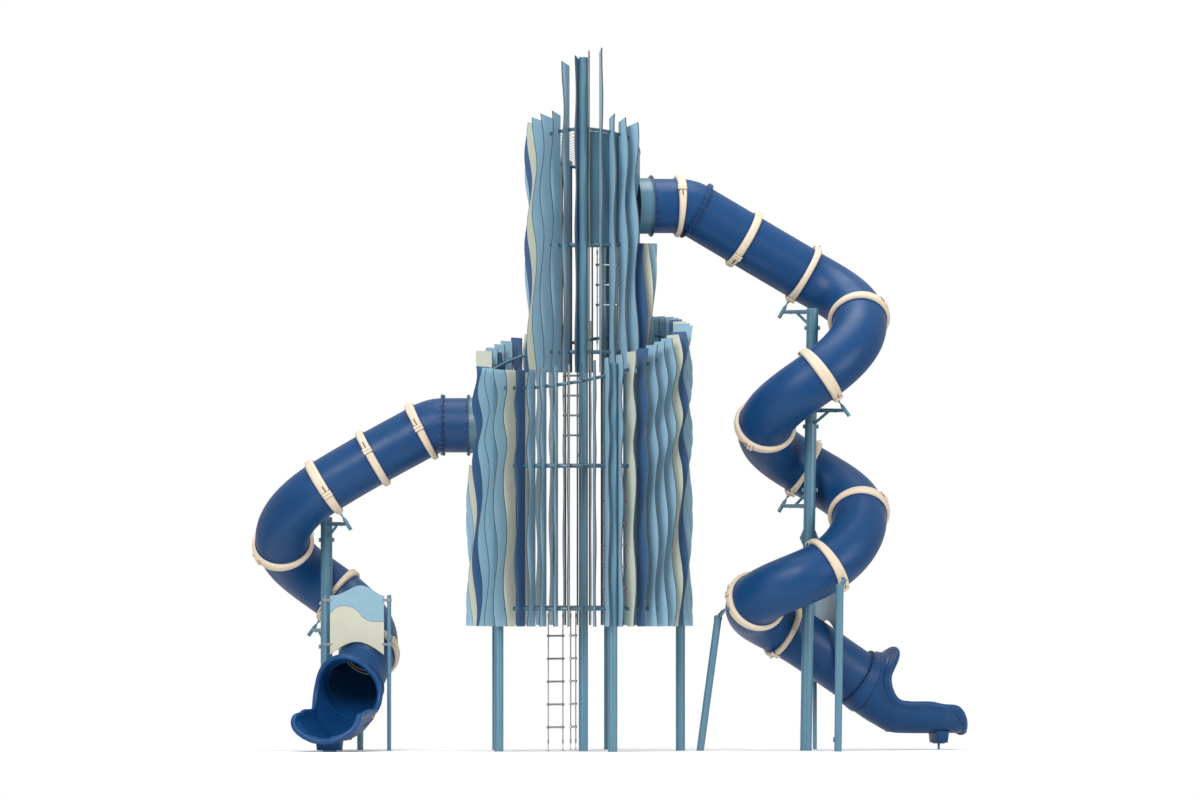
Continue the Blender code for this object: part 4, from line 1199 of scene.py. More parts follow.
# Where each clamp's joint block lies: degrees above the middle of the side that faces front
CLAMP_BLOCKS = {
    "right": {0: 38, 2: -43, 3: -72, 4: -35, 5: -68, 6: -55, 7: -70, 8: -35, 9: -60, 11: 15,
              12: -70},
    "left": {1: 8, 2: 17, 3: -17, 4: -40, 5: -20, 6: 25},
}


def build_clamp(route, at, block_at, name):
    """A slim cream moulded band in two halves, bolted together at two raised blocks."""
    bm = bmesh.new()
    half = CLAMP_BAND / 2
    rise = CLAMP - TUBE - 0.007
    rows = []
    for k in range(15):
        angle = math.pi * k / 14
        along_at = -half * math.copysign(abs(math.cos(angle)) ** 0.75, math.cos(angle))
        height = rise * math.sin(angle) ** 0.62
        rows.append(route.ring(at + along_at, TUBE + CLAMP_FIT + height, 96))
    # A shallow channel runs round the crown of the band
    crown = TUBE + CLAMP_FIT + rise
    channel = [route.ring(at + step, crown - sink, 96) for step, sink in
               ((-0.0100, 0.0006), (-0.0075, 0.0045), (0.0075, 0.0045), (0.0100, 0.0006))]
    rows = rows[:7] + channel + rows[8:]
    rows.append(route.ring(at + half - 0.004, TUBE + RING_FIT, 96))
    rows.append(route.ring(at - half + 0.004, TUBE + RING_FIT, 96))
    loft(bm, rows, closed=True)
    # Dark rings on both sides of the band stand for the tubes' end lips and for the shade in the
    # gap under the band's edges: partly painted shade
    for way in (-1, 1):
        lip = [route.ring(at + way * place, size, 72) for place, size in
               ((half - 0.010, TUBE + RING_FIT), (half - 0.010, TUBE + 0.010),
                (half + 0.006, TUBE + 0.010), (half + 0.010, TUBE + RING_FIT))]
        loft(bm, lip, 2, closed=True)
    place, across, up, along = route.axes(at)
    # The side that faces front, or the right where neither side does
    if abs(across.y) > 0.2:
        front = -math.copysign(1, across.y)
    else:
        front = -math.copysign(1, across.x)
    for turn in (0.0, math.pi):
        angle = math.radians(block_at) + turn
        radial = (across * front * math.cos(angle) + up * math.sin(angle)).normalized()
        tangent = along.cross(radial).normalized()
        seat = place + radial * (CLAMP - 0.0115)
        # Two lugs face each other across a gap, each with a bolt pocket drawn as a black cup of
        # painted shade
        for way in (-1, 1):
            middle = seat + tangent * way * 0.0225
            plate(bm, frame_at(middle, along, radial), (0.130, 0.041, 0.036), 0.009)
            # A black plate at each lug's outer side: painted shade where the block meets the band
            plate(bm, frame_at(seat + tangent * way * 0.046 - radial * 0.010, along, radial),
                  (0.112, 0.006, 0.024), 0.002, 1)
            for shift in (-0.044, 0.044):
                spot = middle + along * shift + radial * 0.0152
                turned(bm, spot - radial * 0.004, radial,
                       [(0.0, 0.0110), (0.0048, 0.0110), (0.0048, 0.0075), (0.001, 0.007)],
                       16, 1)
        # A black plate low between the two lugs: painted shade in the gap
        plate(bm, frame_at(seat - radial * 0.004, along, radial), (0.112, 0.006, 0.024), 0.001, 1)
        # The slot in the band beside the block, drawn as a black plate of painted shade
        slot = seat + tangent * 0.094 - radial * (0.094 ** 2 / (2 * CLAMP) - 0.0125)
        plate(bm, frame_at(slot, tangent, radial), (0.110, 0.012, 0.006), 0.002, 1)
    make_piece(name, bm, ("clamp", "cap", "flange"), angle=32.0)


# The chutes, measured from the centre of the slide's last flange
CHUTE_LEAN = 31.7
CHUTE_WALL = 0.014
# The hood's closed sections up to its mouth: ahead, centre's height, half height, half width, lean
HOOD = (
    (0.0005, 0.000, 0.3990, 0.3990, CHUTE_LEAN),
    (0.050, -0.026, 0.4100, 0.4020, 29.0),
    (0.100, -0.048, 0.4300, 0.4080, 25.5),
    (0.200, -0.088, 0.4580, 0.4220, 18.0),
    (0.300, -0.126, 0.4840, 0.4370, 11.5),
    (0.380, -0.146, 0.5120, 0.4500, 6.5),
    (0.460, -0.162, 0.5450, 0.4630, 2.5),
    (0.520, -0.172, 0.5680, 0.4710, 0.8),
    (0.565, -0.180, 0.5800, 0.4750, 0.0),
)
# The trough's open sections: ahead, centre's height, half height, half width, rim's height
TROUGH = (
    (0.470, -0.182, 0.582, 0.475, -0.370),
    (0.580, -0.192, 0.589, 0.475, -0.380),
    (0.700, -0.210, 0.575, 0.475, -0.380),
    (0.820, -0.238, 0.550, 0.475, -0.380),
    (0.930, -0.265, 0.524, 0.475, -0.381),
    (1.020, -0.284, 0.505, 0.475, -0.392),
    (1.100, -0.296, 0.493, 0.473, -0.413),
    (1.200, -0.300, 0.488, 0.472, -0.424),
    (1.300, -0.308, 0.479, 0.474, -0.428),
    (1.370, -0.350, 0.436, 0.480, -0.440),
    (1.415, -0.400, 0.387, 0.487, -0.470),
    (1.458, -0.440, 0.349, 0.493, -0.524),
    (1.522, -0.468, 0.322, 0.4955, -0.633),
    (1.572, -0.476, 0.314, 0.4955, -0.742),
    (1.592, -0.476, 0.314, 0.4955, -0.775),
)
# The middle line of the mouth's rim: height, then ahead
MOUTH = ((-0.370, 0.470), (-0.300, 0.400), (-0.224, 0.352), (-0.155, 0.322), (-0.088, 0.310),
         (-0.030, 0.308), (0.021, 0.314), (0.090, 0.350), (0.157, 0.398), (0.250, 0.468),
         (0.348, 0.538), (0.400, 0.565))
# The rolled rim's section: how far behind the rim's middle line, how far out of the shell
RIM = ((0.062, -0.017), (0.036, -0.023), (0.012, -0.036), (-0.012, -0.040), (-0.031, -0.028),
       (-0.041, -0.006), (-0.038, 0.018), (-0.023, 0.035), (-0.002, 0.0425), (0.018, 0.042),
       (0.031, 0.037), (0.036, 0.030), (0.041, 0.0275), (0.060, 0.026), (0.071, 0.021),
       (0.077, 0.011), (0.080, 0.003), (0.090, -0.003))
# A soft crease behind the rim that runs down the side and fades out, drawn as a thin black tube of
# painted shade: ahead, height
CREASE = ((0.235, 0.130), (0.212, 0.010), (0.205, -0.094), (0.237, -0.259), (0.338, -0.401),
          (0.475, -0.489), (0.590, -0.537), (0.700, -0.562), (0.795, -0.578))
# Points round each section over and under the rim, and sections along the hood and the trough
OVER, UNDER = 52, 40
BAND_ROWS, HOOD_ROWS, TROUGH_ROWS = 6, 22, 33
TROUGH_START = 0.530
# The raised band by the flange, the groove behind it and the black ring of painted shade in the
# groove
BAND_START, BAND_STOP, BAND_END = 0.0005, 0.1220, 0.145
BAND_SWELL, GROOVE_SWELL = 0.018, -0.004
GROOVE = (0.1250, 0.1440)
GROOVE_SHADE_AHEAD, GROOVE_SHADE_SWELL, GROOVE_SHADE_RADIUS = 0.1345, 0.0020, 0.0095
# How thick the black tube of the crease's painted shade is
CREASE_SHADE_RADIUS = 0.0060
# How far each trough's lip is drawn in at its tip, and where that starts
NOSE_DRAWN = {"right": 0.125, "left": 0.0}
NOSE_START = 1.180


def curve_at(points, x, column=1):
    """The height at x of a smooth curve through points in rising order."""
    if x <= points[0][0] or x >= points[-1][0]:
        return points[0 if x <= points[0][0] else -1][column]
    i = max(k for k, point in enumerate(points[:-1]) if point[0] <= x)

    def slope(k):
        low, high = points[max(k - 1, 0)], points[min(k + 1, len(points) - 1)]
        return (high[column] - low[column]) / (high[0] - low[0])

    width = points[i + 1][0] - points[i][0]
    t = (x - points[i][0]) / width
    return (((2 * t - 3) * t * t + 1) * points[i][column] + (t - 1) ** 2 * t * width * slope(i)
            + (3 - 2 * t) * t * t * points[i + 1][column] + (t - 1) * t * t * width * slope(i + 1))


def hood_places():
    """Where the hood's sections lie, and how far each swells for the band and its groove."""
    band, hood = BAND_STOP - BAND_START, HOOD[-1][0] - BAND_END
    places = [(BAND_START + band * i / BAND_ROWS, BAND_SWELL) for i in range(BAND_ROWS + 1)]
    places += [(ahead, GROOVE_SWELL) for ahead in GROOVE]
    return places + [(BAND_END + hood * i / HOOD_ROWS, 0.0) for i in range(HOOD_ROWS + 1)]


def hood_point(ahead, angle, swell):
    """A point of the hood: the plain section's point, drawn back so that it meets the mouth."""

    def plain(place):
        up, height, width, lean = (curve_at(HOOD, place, column) for column in (1, 2, 3, 4))
        lean = math.radians(lean)
        rise = (height + (swell if place == ahead else 0.0)) * math.sin(angle)
        return Vector((place + rise * math.sin(lean),
                       (width + (swell if place == ahead else 0.0)) * math.cos(angle),
                       up + rise * math.cos(lean)))

    band, here, last = plain(BAND_END), plain(ahead), plain(HOOD[-1][0])
    if ahead > BAND_END:
        share = (curve_at(MOUTH, last.z) - band.x) / (last.x - band.x)
        here.x = band.x + (here.x - band.x) * share
    return here


def trough_row(ahead, drawn):
    """The points of one open section of the trough, from rim to rim."""
    up, height, width, rim = (curve_at(TROUGH, ahead, column) for column in (1, 2, 3, 4))
    width -= drawn * (max(0.0, ahead - NOSE_START) / (TROUGH[-1][0] - NOSE_START)) ** 1.2
    edge = math.asin((rim - up) / height)
    row = []
    for i in range(UNDER + 1):
        angle = math.pi - edge + (math.pi + 2 * edge) * i / UNDER
        row.append(Vector((ahead, width * math.cos(angle), up + height * math.sin(angle))))
    return row


def rolled_rim(bm, path, backs, spread, frame):
    """Sweeps the rim's section round the opening, square to the shell's edge."""
    count = len(path)
    path = smooth_loop(path, 2)
    backs = smooth_loop([(back - place).normalized() for place, back in zip(path, backs)], 8)
    spread = smooth_loop(spread, 6)
    rings = []
    for i, place in enumerate(path):
        along = (path[(i + 1) % count] - path[i - 1]).normalized()
        back = (backs[i] - along * backs[i].dot(along)).normalized()
        out = back.cross(along)
        rings.append([frame @ (place + back * (step + max(0.0, step - 0.045) * spread[i])
                               + out * size) for step, size in RIM])
    loft(bm, rings, closed=True)


def build_chutes():
    for side, route in ROUTES.items():
        place, heading, _ = route.at(route.length)
        frame = Matrix.Translation(place) @ Matrix.Rotation(heading, 4, "Z")
        rim_angle = math.asin((MOUTH[0][0] - HOOD[-1][1]) / HOOD[-1][2])
        angles = [rim_angle + (math.pi - 2 * rim_angle) * i / OVER for i in range(OVER)]
        angles += [math.pi - rim_angle + (math.pi + 2 * rim_angle) * i / UNDER
                   for i in range(UNDER)]
        bm = bmesh.new()
        hood = [[bm.verts.new(hood_point(ahead, angle, swell)) for angle in angles]
                for ahead, swell in hood_places()]
        for first, second in zip(hood, hood[1:]):
            strip(bm, first, second)
        trough = [hood[-1][OVER:] + [hood[-1][0]]]
        for i in range(1, TROUGH_ROWS + 1):
            ahead = TROUGH_START + (TROUGH[-1][0] - TROUGH_START) * (i / TROUGH_ROWS) ** 0.85
            trough.append([bm.verts.new(point) for point in trough_row(ahead, NOSE_DRAWN[side])])
        for first, second in zip(trough, trough[1:]):
            strip(bm, first, second, around=False)

        def copies(verts):
            return [vert.co.copy() for vert in verts]

        rim = copies(hood[-1][:OVER + 1]) + copies(row[0] for row in trough[1:])
        rim += copies(trough[-1][1:]) + copies(row[-1] for row in reversed(trough[1:-1]))
        backs = copies(hood[-4][:OVER + 1])
        backs += copies(trough[max(i - 3, 0)][3] for i in range(1, len(trough)))
        backs += copies(trough[-4][1:])
        backs += copies(trough[max(i - 3, 0)][-4] for i in range(len(trough) - 2, 0, -1))
        spread = [0.85 if 0.50 < point.x < 1.06 and point.z < -0.34 else 0.0 for point in rim]
        skin = copies(bm.verts)
        bm.transform(frame)
        shell = make_piece(f"{side}_chute_shell", bm, ("slide",),
                           (f"{side}_exit",), angle=50.0)
        thick = shell.modifiers.new("wall", "SOLIDIFY")
        thick.thickness = CHUTE_WALL
        thick.offset = -1.0
        bm = bmesh.new()
        rolled_rim(bm, rim, backs, spread, frame)
        # A black tube along each side's crease: painted shade, sinking into the shell towards its
        # ends
        for way in (-1, 1):
            path = []
            for i in range(41):
                share = i / 40 * (len(CREASE) - 1)
                step = min(int(share), len(CREASE) - 2)
                goal = Vector(CREASE[step]).lerp(Vector(CREASE[step + 1]), share - step)
                near = sorted((((point.x - goal.x) ** 2 + (point.z - goal.y) ** 2 + 1e-7, point.y)
                               for point in skin if point.y * way > 0.1))[:4]
                side_way = sum(y / gap for gap, y in near) / sum(1 / gap for gap, y in near)
                out = Vector((0.0, side_way / 0.226, (goal.y + 0.20) / 0.336)).normalized()
                sink = 0.0055 * (abs(i - 20) / 20) ** 4
                path.append(Vector((goal.x, side_way, goal.y)) + out * (0.0115 - sink))
            along_path(bm, smooth_path([frame @ p for p in path], 3), CREASE_SHADE_RADIUS, 10,
                       material=1)
        # Moulded pads under the trough
        for first, last, level in ((0.470, 0.695, -0.780), (0.715, 1.045, -0.789)):
            rings = []
            for up, ease in ((0.030, 0.0), (0.006, 0.0), (0.000, 0.008)):
                rings.append([frame @ Vector((x, y, level + up)) for x, y in (
                    (first + ease, -0.105 + ease), (last - ease, -0.105 + ease),
                    (last - ease, 0.105 - ease), (first + ease, 0.105 - ease))])
            loft(bm, rings)
        # A black ring of painted shade in the groove behind the raised band
        gap = [frame @ hood_point(GROOVE_SHADE_AHEAD, 2 * math.pi * k / 96, GROOVE_SHADE_SWELL)
               for k in range(96)]
        along_path(bm, gap, GROOVE_SHADE_RADIUS, 8, closed=True, material=1)
        make_piece(f"{side}_chute_rim", bm, ("slide", "cap"), angle=42.0)
        build_chute_flange(side, frame)
        build_chute_foot(side, frame, place.z)
        # Two pale seals show inside the bore at the last clamp
        last = max(i for i, leg in enumerate(route.legs) if leg[1].joint == "clamp")
        bm = bmesh.new()
        for shift in (-0.0275, 0.0275):
            middle = route.joints[last] + shift
            loft(bm, [route.ring(middle + step, size, 72) for step, size in
                      ((-0.007, BORE + 0.0005), (-0.005, BORE - 0.006), (0.005, BORE - 0.006),
                       (0.007, BORE + 0.0005))], closed=True)
        make_piece(f"{side}_bore_seals", bm, ("clamp",))


def smooth_loop(points, rounds):
    for _ in range(rounds):
        count = len(points)
        points = [(points[i - 1] + points[i] * 2 + points[(i + 1) % count]) / 4
                  for i in range(count)]
    return points


def smooth_path(points, rounds):
    for _ in range(rounds):
        inner = [(points[i - 1] + points[i] * 2 + points[i + 1]) / 4
                 for i in range(1, len(points) - 1)]
        points = [points[0]] + inner + [points[-1]]
    return points


def build_chute_flange(side, frame):
    """The chute's own bolted flange against the last tube's."""
    bm = bmesh.new()
    lean = math.radians(CHUTE_LEAN)
    along = Vector((math.cos(lean), 0, -math.sin(lean)))
    up = Vector((math.sin(lean), 0, math.cos(lean)))
    across = Vector((0, 1, 0))
    rings = []
    for step, size in ((0.0008, 0.3995), (0.0008, FLANGE), (0.016, FLANGE), (0.018, FLANGE - 0.003),
                       (0.018, 0.3995)):
        rings.append([frame @ p for p in circle(along * step, across, up, size, 72)])
    loft(bm, rings, closed=True)
    for step in bolt_circle(across, up, BOLT_CIRCLE + 0.002, FLANGE_BOLTS):
        flange_bolt(bm, frame @ (step + along * 0.018), frame.to_3x3() @ along)
    make_piece(f"{side}_chute_flange", bm, ("flange", "bolt"))


def build_chute_foot(side, frame, height):
    """The moulded block under the trough, on its steel plate and short spigot."""
    bm = bmesh.new()
    bottom = CHUTE_FOOT_BOTTOMS[side]
    base = bottom - height
    rings = []
    for up, half_x, half_y in ((base, 0.074, 0.167), (base + 0.008, 0.079, 0.172),
                               (-0.77, 0.0945, 0.184)):
        ring = []
        for x, y in ((-1, -1), (1, -1), (1, 1), (-1, 1)):
            for k in range(4):
                angle = math.atan2(y, x) - math.pi / 4 + math.pi / 2 * k / 3
                ring.append(frame @ Vector((
                    FOOT_AHEAD + x * (half_x - 0.016) + 0.016 * math.cos(angle),
                    y * (half_y - 0.016) + 0.016 * math.sin(angle), up)))
        rings.append(ring)
    loft(bm, rings)
    turn = frame.to_3x3()
    # Two hand holes low in the block's rear face, drawn as black plates of painted shade
    for y in (-0.058, 0.058):
        hole = frame @ Vector((FOOT_AHEAD - 0.0790, y, base + 0.034))
        plate(bm, frame_at(hole, turn @ Vector((0, 1, 0)), UP), (0.090, 0.006, 0.046),
              0.002, 3)
    steel = frame @ Vector((FOOT_AHEAD, 0, 0))
    steel.z = 0.0
    if bottom > 0.05:
        plate(bm, frame_at(steel + UP * (bottom - 0.006), turn @ Vector((1, 0, 0)), UP),
              (0.130, 0.160, 0.012), material=1)
        turned(bm, steel, UP, [(0.0, 0.0185), (bottom - 0.010, 0.0185)], 24, 1)
        for x in (-0.045, 0.045):
            for y in (-0.055, 0.055):
                spot = frame @ Vector((FOOT_AHEAD + x, y, 0))
                bolt(bm, Vector((spot.x, spot.y, bottom - 0.012)), -UP, 0.014, 2)
    else:
        plate(bm, frame_at(steel + UP * 0.009, turn @ Vector((1, 0, 0)), UP),
              (0.130, 0.160, 0.0178), material=1)
    make_piece(f"{side}_chute_foot", bm, ("slide", "steel", "bolt", "cap"))


def post_band(bm, centre, radius, tall, ears=None):
    """A bolted band round a post, with two ears drawn together where it has them."""
    turned(bm, centre - UP * tall / 2, UP,
           [(0.0, radius), (0.0015, radius + 0.005), (tall - 0.0015, radius + 0.005),
            (tall, radius)], 48)
    if ears is None:
        return
    square = ears.cross(UP)
    for way in (-1, 1):
        for shift in (-0.007, 0.007):
            spot = centre + ears * way * (radius + 0.014) + square * shift
            plate(bm, frame_at(spot, ears, UP), (0.030, 0.008, tall))
            bolt(bm, spot + ears * way * 0.004 + square * shift * 0.57,
                 square * math.copysign(1, shift), 0.019)


def saddle(bm, support, route, joint, on_axis):
    """The arm, brace, radial bar and thin link that carry one clamp."""
    middle, _, up, _ = route.axes(route.joints[joint])
    edge = middle - up * CLAMP
    meet = edge - up * SADDLE_DROP
    drop = -BRACE_DROP if joint in HIGH_BRACES else BRACE_DROP
    root, low = on_axis(meet.z), on_axis(meet.z - drop)
    reach = (meet - root).normalized()
    turned(bm, root, reach, [(0.0, 0.032), ((meet - root).length, 0.026)], 20)
    rod(bm, low, root.lerp(meet, 0.55), 0.021, 18, 0, 0.002)
    turned(bm, edge - up * 0.055, -up, [(0.0, 0.010), (0.012, 0.017), (0.045, 0.027),
                                        (0.206, 0.028), (0.210, 0.024)], 24)
    rod(bm, edge - up * 0.001, edge - up * 0.070, 0.011, 14, 0)
    turned(bm, edge + up * 0.001, -up, [(0.0, 0.024), (0.008, 0.024), (0.014, 0.014)], 20)
    # Two bolts through the arm, and the band that holds the brace to the post
    for share in (0.30, 0.72):
        spot = root.lerp(meet, share) - lift(0.027)
        bolt(bm, spot, Vector((0, 0, -1)), COMMON_BOLT)
    post_band(bm, root, support.radius, 0.060)
    post_band(bm, low, support.radius, 0.058, EAST)


def build_supports():
    for support in SUPPORTS:
        route = ROUTES[support.side]
        bm = bmesh.new()
        round_post(bm, support.foot, support.head, support.radius)

        def on_axis(level):
            return support.foot.lerp(support.head, level / support.head.z)

        if support.radius > 0.08:
            for joint in support.joints:
                saddle(bm, support, route, joint, on_axis)
        else:
            middle, _, _, along = route.axes(route.joints[support.joints[0]])
            root = on_axis(support.head.z - 0.034)
            reach = root - middle
            side = (reach - along * reach.dot(along)).normalized()
            elbow = middle + side * (CLAMP + PROP_REACH)
            rod(bm, root, elbow, 0.020, 18, 0, 0.002)
            seat = middle + side * (CLAMP + 0.002)
            turned(bm, elbow + side * 0.014, -side,
                   [(0.0, 0.014), (0.004, 0.0185), (0.040, 0.0185), (0.056, 0.010),
                    ((elbow - seat).length + 0.013, 0.010)], 18)
            turned(bm, seat, side, [(0.0, 0.024), (0.008, 0.024), (0.014, 0.014)], 20)
            # A pin through the two cheeks of the bracket on the post's head
            square = along.cross(side).normalized()
            for way in (-1, 1):
                plate(bm, frame_at(root.lerp(elbow, 0.5) + square * way * 0.020, elbow - root,
                                   square), ((elbow - root).length * 0.7, 0.045, 0.007))
                bolt(bm, root.lerp(elbow, 0.5) + square * way * 0.0235, square * way,
                     COMMON_BOLT)
            post_band(bm, on_axis(support.head.z - 0.045), support.radius, 0.050)
        if support.name == "right_main_post":
            low, high = SPLICE_LOW, SPLICE_HIGH
            turned(bm, on_axis(low), on_axis(high) - on_axis(low),
                   [(0.0, 0.084), (0.002, 0.088), (high - low - 0.002, 0.088),
                    (high - low, 0.084)], 48)
            for level in (low + 0.04, high - 0.04):
                for turn in range(45, 360, 90):
                    bolt(bm, on_axis(level) + outward(turn) * 0.0875, outward(turn), 0.018)
            # Pointed ears stand out at both sides of the splice
            for way in (-1, 1):
                edge = [(0.070, -0.115), (0.086, -0.115), (0.136, 0.0), (0.086, 0.115),
                        (0.070, 0.115)]
                rings = [[on_axis(EAR_LEVEL) + Vector((way * x, y, z)) for x, z in edge]
                         for y in (-0.016, 0.016)]
                loft(bm, rings)
                for z in (-0.035, 0.035):
                    bolt(bm, on_axis(EAR_LEVEL) + Vector((way * 0.104, -0.016, z)),
                         Vector((0, -1, 0)), 0.018)
        if support.name == "right_front_post":
            tab = on_axis(0.167) - Vector((support.radius + 0.008, 0, 0))
            plate(bm, frame_at(tab, EAST, UP), (0.022, 0.030, 0.070))
        make_piece(f"round_{support.name}", bm, ("steel", "bolt"), (support.name,))


def panel_top(across):
    turn = across / PANEL_HALF
    return 1.175 + 0.145 * (0.5 + 0.5 * math.cos(math.pi * (turn - 0.15 * (1 - turn * turn))))


def panel_foot(across):
    return 0.330 + 0.185 * math.cos(math.pi / 2 * across / PANEL_HALF)


# The border between a panel's two colours: across, height
WAVE_LINE = ((-0.400, 0.915), (-0.320, 0.995), (-0.200, 1.030), (-0.080, 1.010),
             (0.010, 0.950), (0.090, 0.862), (0.220, 0.806), (0.400, 0.804))


def build_panels():
    for side, back, node, posts in PANELS:
        route = ROUTES[side]
        middle, heading, _ = route.at(route.length - back)
        frame = Matrix.Translation(middle) @ Matrix.Rotation(heading + math.pi / 2, 4, "Z")
        view = frame.to_3x3()
        front = view @ Vector((0, -1, 0))
        for part, key in (("base", "panel_base"), ("top", "panel_top")):
            rings = []
            for i in range(57):
                across = -PANEL_HALF + 2 * PANEL_HALF * i / 56
                border = curve_at(WAVE_LINE, across)
                low, high = panel_foot(across), border - 0.0008
                if part == "top":
                    low, high = border + 0.0008, panel_top(across)
                rings.append([frame @ Vector((across, depth, up)) for depth, up in (
                    (-0.0080, low), (-0.0095, low + 0.0015), (-0.0095, high - 0.0015),
                    (-0.0080, high), (0.0080, high), (0.0095, high - 0.0015),
                    (0.0095, low + 0.0015), (0.0080, low))])
            bm = bmesh.new()
            loft(bm, rings)
            bmesh.ops.recalc_face_normals(bm, faces=bm.faces)
            for face in bm.faces:
                facing = face.normal.dot(front)
                if facing < 0.9:
                    face.material_index = 2 if facing < -0.9 else 1
            make_piece(f"{node}_{part}", bm, (key, "core", "panel_back"),
                       (node,) if part == "base" else (), angle=30.0)
        for way, post_node in zip((-1, 1), posts):
            bm = bmesh.new()
            out = view @ Vector((way, 0, 0))
            foot = frame @ Vector((way * PANEL_POST_OUT, 0, -middle.z))
            head = frame @ Vector((way * PANEL_POST_OUT, 0, PANEL_POST_TOP))
            round_post(bm, foot, head, 0.0295)
            for up in PANEL_BANDS:
                centre = frame @ Vector((way * PANEL_POST_OUT, 0, up))
                turned(bm, centre - lift(0.022), UP,
                       [(0.0, 0.0296), (0.002, 0.0370), (0.042, 0.0370), (0.044, 0.0296)], 32, 1)
                for depth in (-1, 1):
                    cheek = []
                    for reach, half in ((0.030, 0.021), (0.074, 0.019), (0.092, 0.015),
                                        (0.102, 0.008)):
                        cheek.append([centre - out * reach + front * depth * deep
                                      + lift(z) for deep, z in (
                                          (0.0098, -half), (0.0175, -half + 0.003),
                                          (0.0175, half - 0.003), (0.0098, half))])
                    loft(bm, cheek, 1)
                    bolt(bm, centre - out * 0.072 + front * depth * 0.0172, front * depth, 0.015, 2)
            make_piece(f"round_{post_node}", bm, ("steel", "fitting", "bolt"),
                       (post_node,))


def build_stage():
    scene = bpy.context.scene
    bm = bmesh.new()
    ring = circle(FLOOR_MIDDLE, EAST, NORTH, FLOOR_RADIUS, 96)
    bm.faces.new([bm.verts.new(point) for point in ring])
    mesh = bpy.data.meshes.new("studio_floor")
    bm.to_mesh(mesh)
    bm.free()
    mesh.materials.append(finish("floor"))
    floor = bpy.data.objects.new("studio_floor", mesh)
    scene.collection.objects.link(floor)

    world = bpy.data.worlds.new("studio")
    world.use_nodes = True
    tree = world.node_tree
    tree.nodes.clear()
    look = add_node(tree, "ShaderNodeTexCoord").outputs["Generated"]
    split = add_node(tree, "ShaderNodeSeparateXYZ", links={"Vector": look})
    # The room is a little dimmer in front than behind, and brighter above than below
    shade = add_node(tree, "ShaderNodeMapRange",
                     {"From Min": -0.85, "From Max": 0.10, "To Min": 0.55, "To Max": 0.75},
                     {"Value": split.outputs["Y"]})
    lift = add_node(tree, "ShaderNodeMapRange",
                    {"From Min": -0.5, "From Max": 1.0, "To Min": 0.70, "To Max": 1.20},
                    {"Value": split.outputs["Z"]})
    level = add_node(tree, "ShaderNodeMath", {"operation": "MULTIPLY"})
    tree.links.new(shade.outputs["Result"], level.inputs[0])
    tree.links.new(lift.outputs["Result"], level.inputs[1])
    soft = add_node(tree, "ShaderNodeBackground", {"Color": (1, 1, 1, 1)},
                    {"Strength": level.outputs["Value"]})
    plain = add_node(tree, "ShaderNodeBackground", {"Color": (1, 1, 1, 1), "Strength": 1.0})
    ray = add_node(tree, "ShaderNodeLightPath")
    both = add_node(tree, "ShaderNodeMixShader", links={"Fac": ray.outputs["Is Camera Ray"]})
    tree.links.new(soft.outputs[0], both.inputs[1])
    tree.links.new(plain.outputs[0], both.inputs[2])
    add_node(tree, "ShaderNodeOutputWorld", links={"Surface": both.outputs[0]})
    scene.world = world

    for lamp in LAMPS:
        data = bpy.data.lights.new(lamp.name, "AREA")
        data.size = lamp.size
        data.energy = lamp.power
        light = bpy.data.objects.new(lamp.name, data)
        light.location = lamp.place
        light.rotation_mode = "QUATERNION"
        light.rotation_quaternion = (lamp.aim - lamp.place).to_track_quat("-Z", "Y")
        scene.collection.objects.link(light)

    data = bpy.data.cameras.new("camera")
    data.sensor_width = SENSOR
    data.lens = LENS
    data.clip_start = 1.0
    data.clip_end = 2000.0
    camera = bpy.data.objects.new("camera", data)
    x, y, z = VIEW_MIDDLE
    camera.location = (x, y - VIEW_WIDTH * LENS / SENSOR, z)
    camera.rotation_euler = (math.pi / 2, 0.0, 0.0)
    scene.collection.objects.link(camera)
    scene.camera = camera
    scene.view_settings.view_transform = "Standard"


# Operators

class PLAYTOWER_OT_posts(bpy.types.Operator):
    """Build the towers' round posts with their rail clamps"""

    bl_idname = "playtower.posts"
    bl_label = "Posts"
    bl_options = {"REGISTER", "UNDO"}

    def execute(self, context):
        build_posts()
        return {"FINISHED"}


class PLAYTOWER_OT_boards(bpy.types.Operator):
    """Build the wavy boards and the level rails that carry them"""

    bl_idname = "playtower.boards"
    bl_label = "Boards and rails"
    bl_options = {"REGISTER", "UNDO"}

    def execute(self, context):
        build_boards(context.scene.play_tower_sizes)
        return {"FINISHED"}


class PLAYTOWER_OT_rings(bpy.types.Operator):
    """Build the tilted rings near the towers' tops"""

    bl_idname = "playtower.rings"
    bl_label = "Tilted rings"
    bl_options = {"REGISTER", "UNDO"}

    def execute(self, context):
        build_rings(context.scene.play_tower_sizes)
        return {"FINISHED"}


class PLAYTOWER_OT_net(bpy.types.Operator):
    """Build the net across the upper ring"""

    bl_idname = "playtower.net"
    bl_label = "Ring net"
    bl_options = {"REGISTER", "UNDO"}

    def execute(self, context):
        build_net(context.scene.play_tower_sizes)
        return {"FINISHED"}


class PLAYTOWER_OT_decks(bpy.types.Operator):
    """Build the deck plates, joists and hatch trims"""

    bl_idname = "playtower.decks"
    bl_label = "Decks"
    bl_options = {"REGISTER", "UNDO"}

    def execute(self, context):
        build_decks()
        return {"FINISHED"}


class PLAYTOWER_OT_ladders(bpy.types.Operator):
    """Build the rope ladders"""

    bl_idname = "playtower.ladders"
    bl_label = "Rope ladders"
    bl_options = {"REGISTER", "UNDO"}

    def execute(self, context):
        build_ladders(context.scene.play_tower_sizes)
        return {"FINISHED"}


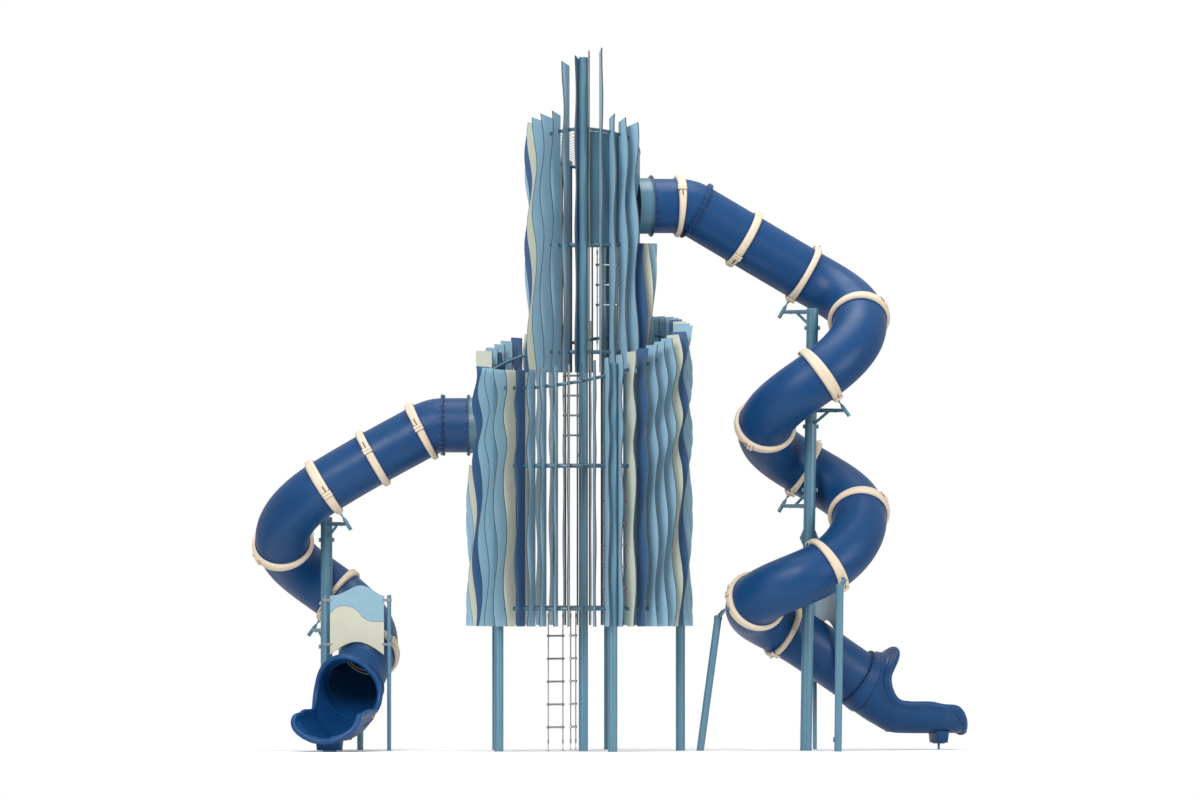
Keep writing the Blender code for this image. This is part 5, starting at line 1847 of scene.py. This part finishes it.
class PLAYTOWER_OT_entry_walls(bpy.types.Operator):
    """Build the bent entry walls and the slide collars"""

    bl_idname = "playtower.entry_walls"
    bl_label = "Entry walls"
    bl_options = {"REGISTER", "UNDO"}

    def execute(self, context):
        build_entry_walls()
        return {"FINISHED"}


class PLAYTOWER_OT_tubes(bpy.types.Operator):
    """Build the slide tubes, their clamps and bolted flanges"""

    bl_idname = "playtower.tubes"
    bl_label = "Slide tubes"
    bl_options = {"REGISTER", "UNDO"}

    def execute(self, context):
        build_tubes()
        return {"FINISHED"}


class PLAYTOWER_OT_chutes(bpy.types.Operator):
    """Build the open chutes at the slides' feet"""

    bl_idname = "playtower.chutes"
    bl_label = "Exit chutes"
    bl_options = {"REGISTER", "UNDO"}

    def execute(self, context):
        build_chutes()
        return {"FINISHED"}


class PLAYTOWER_OT_supports(bpy.types.Operator):
    """Build the slides' posts, arms and saddles"""

    bl_idname = "playtower.supports"
    bl_label = "Slide supports"
    bl_options = {"REGISTER", "UNDO"}

    def execute(self, context):
        build_supports()
        return {"FINISHED"}


class PLAYTOWER_OT_panels(bpy.types.Operator):
    """Build the wave-topped panels and their thin posts"""

    bl_idname = "playtower.panels"
    bl_label = "Guard panels"
    bl_options = {"REGISTER", "UNDO"}

    def execute(self, context):
        build_panels()
        return {"FINISHED"}


class PLAYTOWER_OT_stage(bpy.types.Operator):
    """Set the pale floor, the soft light and the camera"""

    bl_idname = "playtower.stage"
    bl_label = "Stage"
    bl_options = {"REGISTER", "UNDO"}

    def execute(self, context):
        build_stage()
        return {"FINISHED"}


BUILDERS = (
    PLAYTOWER_OT_posts, PLAYTOWER_OT_boards, PLAYTOWER_OT_rings, PLAYTOWER_OT_net,
    PLAYTOWER_OT_decks, PLAYTOWER_OT_ladders, PLAYTOWER_OT_entry_walls, PLAYTOWER_OT_tubes,
    PLAYTOWER_OT_chutes, PLAYTOWER_OT_supports, PLAYTOWER_OT_panels, PLAYTOWER_OT_stage,
)


class PLAYTOWER_PT_panel(bpy.types.Panel):
    """Lists the building steps and the sizes and colours."""

    bl_idname = "PLAYTOWER_PT_panel"
    bl_label = "Play tower"
    bl_space_type = "VIEW_3D"
    bl_region_type = "UI"
    bl_category = "Play tower"

    def draw(self, context):
        for group in (context.scene.play_tower_sizes, context.scene.play_tower_colours):
            box = self.layout.box()
            for key in group.__annotations__:
                box.prop(group, key)
        for builder in BUILDERS:
            self.layout.operator(builder.bl_idname)


CLASSES = (PlayTowerColours, PlayTowerSizes, *BUILDERS, PLAYTOWER_PT_panel)


def register():
    for item in CLASSES:
        bpy.utils.register_class(item)
    bpy.types.Scene.play_tower_colours = bpy.props.PointerProperty(type=PlayTowerColours)
    bpy.types.Scene.play_tower_sizes = bpy.props.PointerProperty(type=PlayTowerSizes)


def unregister():
    del bpy.types.Scene.play_tower_sizes
    del bpy.types.Scene.play_tower_colours
    for item in reversed(CLASSES):
        bpy.utils.unregister_class(item)


def main():
    register()
    for builder in BUILDERS:
        group, action = builder.bl_idname.split(".")
        getattr(getattr(bpy.ops, group), action)()


if __name__ == "__main__":
    main()
